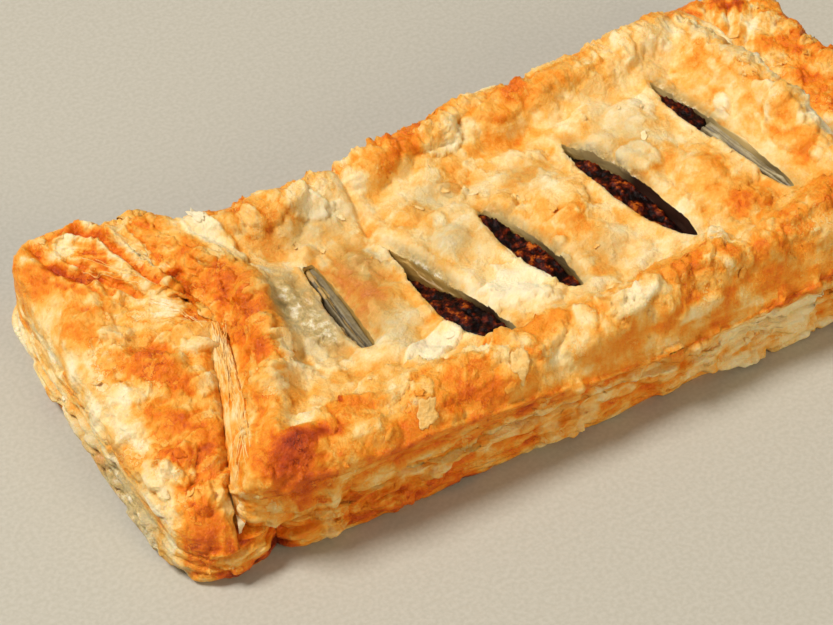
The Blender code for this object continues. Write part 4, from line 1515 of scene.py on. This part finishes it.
def torn_sheets(tree, place):
    """Paper-thin sheets about 2 mm wide that end in torn edges: their height and their tone.

    Each sheet has its own tone, its edge is pale and the line just below that edge is amber, a painted
    shadow under the sheet above.
    """
    flaky = node(tree, "ShaderNodeAttribute", out="Fac", attribute_name="flaky")
    noise = {"Vector": place, "Scale": per_metre(6.0), "Detail": 5.0, "Roughness": 0.62}
    field = node(tree, "ShaderNodeTexNoise", noise)
    field = node(tree, "ShaderNodeMath", {0: field, 1: 5.0}, operation="MULTIPLY")
    within = node(tree, "ShaderNodeMath", {0: field}, operation="FRACT")
    number = node(tree, "ShaderNodeMath", {0: field}, operation="FLOOR")
    own = node(tree, "ShaderNodeTexWhiteNoise", {"W": number}, out="Value", noise_dimensions="1D")
    tone = node(tree, "ShaderNodeMapRange", {"Value": own, "To Min": -0.08, "To Max": 0.08})
    for start, end, low, high in SHEET_EDGE_AND_SHADOW_LINE:
        edge = {"Value": within, "From Min": start, "From Max": end, "To Min": low, "To Max": high}
        tone = node(tree, "ShaderNodeMath", {0: tone, 1: node(tree, "ShaderNodeMapRange", edge)})
    fall = node(tree, "ShaderNodeMath", {0: 1.0, 1: within}, operation="SUBTRACT")
    height, tone = (
        node(tree, "ShaderNodeMath", {0: value, 1: flaky}, operation="MULTIPLY")
        for value in (fall, tone)
    )
    return height, tone


def side_streaks(tree, place):
    """Long thin lines of pale and amber layers on the sides: their height and their tone."""
    side = node(tree, "ShaderNodeAttribute", out="Fac", attribute_name="side")
    stretched = node(tree, "ShaderNodeMapping", {"Vector": place, "Scale": (0.12, 0.12, 1.0)})
    noise = {"Vector": stretched, "Scale": per_metre(1.7), "Detail": 5.0, "Roughness": 0.6}
    lines = node(tree, "ShaderNodeTexNoise", noise)
    tone = {"Value": lines, "From Min": 0.3, "From Max": 0.7, "To Min": -0.10, "To Max": 0.14}
    tone = node(tree, "ShaderNodeMapRange", tone)
    height, tone = (
        node(tree, "ShaderNodeMath", {0: value, 1: side}, operation="MULTIPLY")
        for value in (lines, tone)
    )
    return height, tone


def baked_puff_pastry(name, thick):
    """Laminated dough, egg-washed and oven-baked: a thin brown skin over cream layers.

    The colour follows how far each point has baked, broken up by grain of 1.6 and 0.45 mm, by thin
    torn sheets and by streaks along the sides, with a soft buttery gloss that is duller where the
    dough is pale. Thick dough lets light in a little.
    """
    made, tree, shader, place = new_material(name)
    bake = node(tree, "ShaderNodeAttribute", out="Fac", attribute_name="bake")
    dough_and_shade = node(tree, "ShaderNodeAttribute", out="Fac", attribute_name="dough_and_shade")
    noise = {"Vector": place, "Roughness": 0.6}
    mottle = node(tree, "ShaderNodeTexNoise", noise | {"Scale": per_metre(1.6), "Detail": 4.0})
    grain = node(tree, "ShaderNodeTexNoise", noise | {"Scale": per_metre(0.45), "Detail": 3.0})
    level = {0: mottle, 1: MOTTLE, 2: bake}
    level = node(tree, "ShaderNodeMath", level, operation="MULTIPLY_ADD")
    level = {0: grain, 1: GRAIN, 2: level}
    level = node(tree, "ShaderNodeMath", level, operation="MULTIPLY_ADD")
    sheet_height, sheet_tone = torn_sheets(tree, place)
    streak_height, streak_tone = side_streaks(tree, place)
    for tone in (sheet_tone, streak_tone):
        level = node(tree, "ShaderNodeMath", {0: level, 1: tone})
    level = {0: level, 1: (MOTTLE + GRAIN) / 2}
    level = node(tree, "ShaderNodeMath", level, operation="SUBTRACT")
    colour = node(tree, "ShaderNodeValToRGB", {0: level}, stops=BAKE_COLOURS)
    dough_and_shade_colour = node(tree, "ShaderNodeMath", {0: dough_and_shade, 1: 0.4, 2: mottle}, operation="MULTIPLY_ADD")
    dough_and_shade_colour = node(tree, "ShaderNodeValToRGB", {0: dough_and_shade_colour}, stops=DOUGH_AND_SHADE_COLOURS)
    colour = node(tree, "ShaderNodeMix", {0: dough_and_shade, 6: colour, 7: dough_and_shade_colour}, 2, data_type="RGBA")
    gloss = {"Value": level, "From Min": 0.1, "From Max": 0.8, "To Min": 0.48, "To Max": 0.28}
    gloss = node(tree, "ShaderNodeMapRange", gloss)
    noise = {"Vector": place, "Scale": per_metre(1.1), "Detail": 6.0, "Roughness": 0.7}
    blisters = node(tree, "ShaderNodeTexNoise", noise)
    bump = {"Height": blisters, "Strength": 0.8, "Distance": 0.7 * MM}
    bump = node(tree, "ShaderNodeBump", bump)
    for height, deep in ((sheet_height, 0.35 * MM), (streak_height, 0.6 * MM)):
        bump = {"Height": height, "Normal": bump, "Strength": 0.8, "Distance": deep}
        bump = node(tree, "ShaderNodeBump", bump)
    finish = {"Base Color": colour, "Roughness": gloss, "Normal": bump, "Specular IOR Level": 0.28}
    if thick:
        finish["Subsurface Weight"] = 0.25
        finish["Subsurface Radius"] = (1.0, 0.42, 0.14)
        finish["Subsurface Scale"] = 1.2 * MM
    feed(tree, shader, finish)
    return made


def torn_pastry_layers():
    """The moist inside of the crust where it was slashed: thin tan layers, darker lower down."""
    made, tree, shader, place = new_material("torn_pastry_layers")
    stretched = node(tree, "ShaderNodeMapping", {"Vector": place, "Scale": (0.22, 0.22, 1.0)})
    noise = {"Vector": stretched, "Scale": per_metre(0.55), "Detail": 4.0, "Roughness": 0.6}
    layers = node(tree, "ShaderNodeTexNoise", noise)
    height = node(tree, "ShaderNodeSeparateXYZ", {0: place}, out="Z")
    lift = {"Value": height, "From Min": 11 * MM, "From Max": 19 * MM}
    lift = node(tree, "ShaderNodeMapRange", lift)
    level = node(tree, "ShaderNodeMath", {0: layers, 1: 0.5, 2: lift}, operation="MULTIPLY_ADD")
    colour = node(tree, "ShaderNodeValToRGB", {0: level}, stops=TORN_COLOURS)
    stained_and_shaded = node(tree, "ShaderNodeValToRGB", {0: level}, stops=SYRUP_AND_SHADE_COLOURS)
    syrup = node(tree, "ShaderNodeAttribute", out="Fac", attribute_name="syrup")
    # the syrup attribute darkens the walls to near black: a syrup stain, and painted shade deep in the
    # slashes
    colour = node(tree, "ShaderNodeMix", {0: syrup, 6: colour, 7: stained_and_shaded}, 2, data_type="RGBA")
    bump = {"Height": layers, "Strength": 0.5, "Distance": 0.25 * MM}
    bump = node(tree, "ShaderNodeBump", bump)
    feed(tree, shader, {"Base Color": colour, "Normal": bump, "Roughness": 0.5})
    soft = {"Subsurface Weight": 0.2, "Subsurface Radius": (1.0, 0.6, 0.3)}
    feed(tree, shader, soft | {"Subsurface Scale": 1.0 * MM})
    return made


def steamed_raw_dough():
    """Dough that steamed in a closed slash: grey-olive, dull, and streaked along the cut."""
    made, tree, shader, place = new_material("steamed_raw_dough")
    pale = node(tree, "ShaderNodeAttribute", out="Fac", attribute_name="pale")
    noise = {"Vector": place, "Scale": per_metre(0.8), "Detail": 4.0, "Roughness": 0.6}
    mottle = node(tree, "ShaderNodeTexNoise", noise)
    level = node(tree, "ShaderNodeMath", {0: mottle, 1: 0.5, 2: pale}, operation="MULTIPLY_ADD")
    colour = node(tree, "ShaderNodeValToRGB", {0: level}, stops=STEAMED_COLOURS)
    bump = {"Height": mottle, "Strength": 0.6, "Distance": 0.3 * MM}
    bump = node(tree, "ShaderNodeBump", bump)
    feed(tree, shader, {"Base Color": colour, "Normal": bump, "Roughness": 0.5})
    return made


def stewed_apple():
    """Apple cooked down with spice and sugar: soft brown chunks in a near-black glossy syrup."""
    made, tree, shader, place = new_material("stewed_apple")
    wet = node(tree, "ShaderNodeAttribute", out="Fac", attribute_name="wet")
    noise = {"Vector": place, "Scale": per_metre(1.5), "Detail": 5.0, "Roughness": 0.65}
    pulp = node(tree, "ShaderNodeTexNoise", noise)
    speckle = {"Value": pulp, "From Min": 0.35, "From Max": 0.65, "To Min": -0.4, "To Max": 0.5}
    speckle = node(tree, "ShaderNodeMapRange", speckle)
    level = node(tree, "ShaderNodeMath", {0: speckle, 1: wet})
    colour = node(tree, "ShaderNodeValToRGB", {0: level}, stops=APPLE_COLOURS)
    bump = {"Height": pulp, "Strength": 0.8, "Distance": 0.5 * MM}
    bump = node(tree, "ShaderNodeBump", bump)
    finish = {"Base Color": colour, "Normal": bump, "Roughness": 0.38, "Specular IOR Level": 0.1}
    feed(tree, shader, finish)
    soft = {"Subsurface Weight": 0.08, "Subsurface Radius": (1.0, 0.3, 0.1)}
    feed(tree, shader, soft | {"Subsurface Scale": 0.8 * MM})
    return made


def pale_floor():
    """A matt pale stoneware surface with a fine speckle, so that it doesn't read as paper."""
    made, tree, shader, place = new_material("pale_floor")
    noise = {"Vector": place, "Scale": per_metre(0.8), "Detail": 2.0}
    speckle = node(tree, "ShaderNodeTexNoise", noise)
    colour = node(tree, "ShaderNodeValToRGB", {0: speckle}, stops=FLOOR_COLOURS)
    feed(tree, shader, {"Base Color": colour, "Roughness": 0.55})
    return made


# ---- stage, light and camera --------------------------------------------------------------------
# The camera looks down at 45 degrees, and the pie's length runs away from it to the right
CAMERA_TURN, CAMERA_DOWN = math.radians(29.75), math.radians(45.0)
CAMERA_TARGET = Vector((-14.76, 1.38, 0.0)) * MM
CAMERA_DISTANCE = 537 * MM
LENS, SENSOR = 129.65, 36.0
FLOOR_REACH = 3.0  # metres each way, so that its edges are out of sight

# Each lamp's name, place and size in metres, watts and colour. All point at the pie's middle.
LAMPS = (
    ("window", (-1.22, 0.70, 2.05), 0.9, 69.0, (1.0, 0.98, 0.95)),
    ("bounce", (0.40, -1.70, 0.95), 1.0, 15.5, (1.0, 0.82, 0.52)),
)


def add_camera():
    turn, down = CAMERA_TURN, CAMERA_DOWN
    right = Vector((math.cos(turn), -math.sin(turn), 0))
    ahead = Vector((math.sin(turn), math.cos(turn), 0))
    look = ahead * math.cos(down) - Vector((0, 0, math.sin(down)))
    up = ahead * math.sin(down) + Vector((0, 0, math.cos(down)))
    data = bpy.data.cameras.new("camera")
    data.lens, data.sensor_width = LENS, SENSOR
    data.clip_start = 0.01
    camera = bpy.data.objects.new("camera", data)
    axes = Matrix((right, up, -look)).transposed().to_4x4()
    camera.matrix_world = Matrix.Translation(CAMERA_TARGET - look * CAMERA_DISTANCE) @ axes
    bpy.context.scene.collection.objects.link(camera)
    bpy.context.scene.camera = camera


def add_floor():
    data = bpy.data.meshes.new("floor")
    corners = [(x * FLOOR_REACH, y * FLOOR_REACH, 0) for x, y in ((-1, -1), (1, -1), (1, 1), (-1, 1))]
    data.from_pydata(corners, [], [(0, 1, 2, 3)])
    floor = new_piece("floor", data, pale_floor())


def add_lamp(name, place, size, watts, colour):
    data = bpy.data.lights.new(name, "AREA")
    data.shape = "DISK"
    data.size = size
    data.energy = watts
    data.color = colour
    lamp = bpy.data.objects.new(name, data)
    lamp.location = place
    lamp.rotation_euler = (-Vector(place)).to_track_quat("-Z", "Y").to_euler()
    bpy.context.scene.collection.objects.link(lamp)


def add_light():
    world = bpy.data.worlds.new("studio")
    world.use_nodes = True
    sky = world.node_tree.nodes["Background"]
    sky.inputs["Color"].default_value = (1.0, 0.98, 0.95, 1)
    sky.inputs["Strength"].default_value = 0.22
    bpy.context.scene.world = world
    for lamp in LAMPS:
        add_lamp(*lamp)
    bpy.context.scene.view_settings.view_transform = "Standard"


# ---- the pie ------------------------------------------------------------------------------------
def finish_piece(piece, replaced=None):
    piece.data.shade_smooth()
    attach(piece, "root")
    if replaced:
        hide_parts(replaced)


add_camera()
add_floor()
add_light()

crust_finish = baked_puff_pastry("baked_puff_pastry", True)
flake_finish = baked_puff_pastry("thin_puff_pastry_flake", False)
torn_finish = torn_pastry_layers()
tongue_finish = steamed_raw_dough()

base = bottom_crust_skin()
lid, lid_rimness = top_crust_skin()
end_fold, curl = end_fold_skin()
base_normals, lid_normals, fold_normals = base.normals(), lid.normals(), end_fold.normals()
layers = big_layers(lid, lid_normals)
strewn = 0.12 + lid_rimness**2
layers += random_layers(lid.points, lid_normals, strewn, 210, (-0.24, 0.14), 5)
strewn = 1 + ease(0.2, 0.8, base_normals[:, 2]) * (base.points[:, 2] > 9)
layers += random_layers(base.points, base_normals, strewn, 330, (-0.22, 0.12), 6)

relief, base_paint = baked_crust(base.points, base_normals, np.ones(len(base.points)), layers)
lowest = 0.1 * base.points[:, 2]  # nothing sinks below the floor
base.points += base_normals * (relief * ease(0.0, 0.9, base.points[:, 2]))[:, None]
base.points[:, 2] = np.maximum(base.points[:, 2], lowest)
base_piece = new_piece("bottom_crust_baked", base.mesh(base_paint), crust_finish)

relief, fold_paint = baked_crust(end_fold.points, fold_normals, np.ones(len(curl)), layers)
end_fold.points += fold_normals * (relief * (1 - 0.7 * curl))[:, None]
fold_piece = new_piece("folded_end_skin", end_fold.mesh(fold_paint), crust_finish)

relief, lid_paint = baked_crust(lid.points, lid_normals, lid_rimness, layers)
# syrup stain and painted shade on the torn walls
lid_paint["syrup"] = spots(lid.points, SYRUP_STAIN_AND_SHADE)
lid_piece = new_piece("top_crust_baked", lid.mesh(), crust_finish)
cut(lid_piece, cutter_piece("filling_room", [filling_room()], torn_finish))
plugs = [slash_cutter(number, slash) for number, slash in enumerate(SLASHES)]
cut(lid_piece, cutter_piece("slashes", plugs, torn_finish))
dress(lid_piece.data, lid.points, lid_normals * relief[:, None], lid_paint)

ground = Ground([base_piece, lid_piece, fold_piece])
frayed_piece = new_piece("frayed_side", frayed_skin(ground), flake_finish)
filling_piece = new_piece("stewed_apple", filling_skin(ground), stewed_apple())
tongue_pieces = [
    new_piece(f"dough_tongue_{number + 1}", tongue_skin(ground, SLASHES[number], *shape), tongue_finish)
    for number, *shape in TONGUES
]

ground = Ground([base_piece, lid_piece, fold_piece, frayed_piece])
flakes = flakes_mesh(ground, ((lid, 30), (base, 24)))
flakes_piece = new_piece("torn_flakes", flakes, flake_finish)
strands_piece = new_piece("pulled_strands", strands_mesh(ground))
grown(strands_piece, strand_tree(flake_finish), STRAND_SIZES)

shard_pieces = []
for name, source, seed in (("top_shards", lid_piece, 31), ("bottom_shards", base_piece, 41)):
    piece = new_piece(name, source.data.copy())
    now = points_of(piece.data)
    weight = ease(0.1, 0.7, rough(now, 9, 91, 2)) * ease(2.5, 5.0, now[:, 2])
    weight *= ease(1.0, 2.5, near_lips(now)[0]) * between(0.15, 1.0, ease(-24, -30, now[:, 1]))
    paint(piece.data, "shards", weight)
    shard_pieces.append(grown(piece, shard_tree(flake_finish, seed), SHARD_SIZES))

finish_piece(base_piece, "bottom_crust")
finish_piece(lid_piece, "top_crust")
finish_piece(filling_piece, "apple_filling")
for piece in (*tongue_pieces, fold_piece, frayed_piece, flakes_piece, strands_piece):
    finish_piece(piece)
finish_piece(shard_pieces[0])
finish_piece(shard_pieces[1])
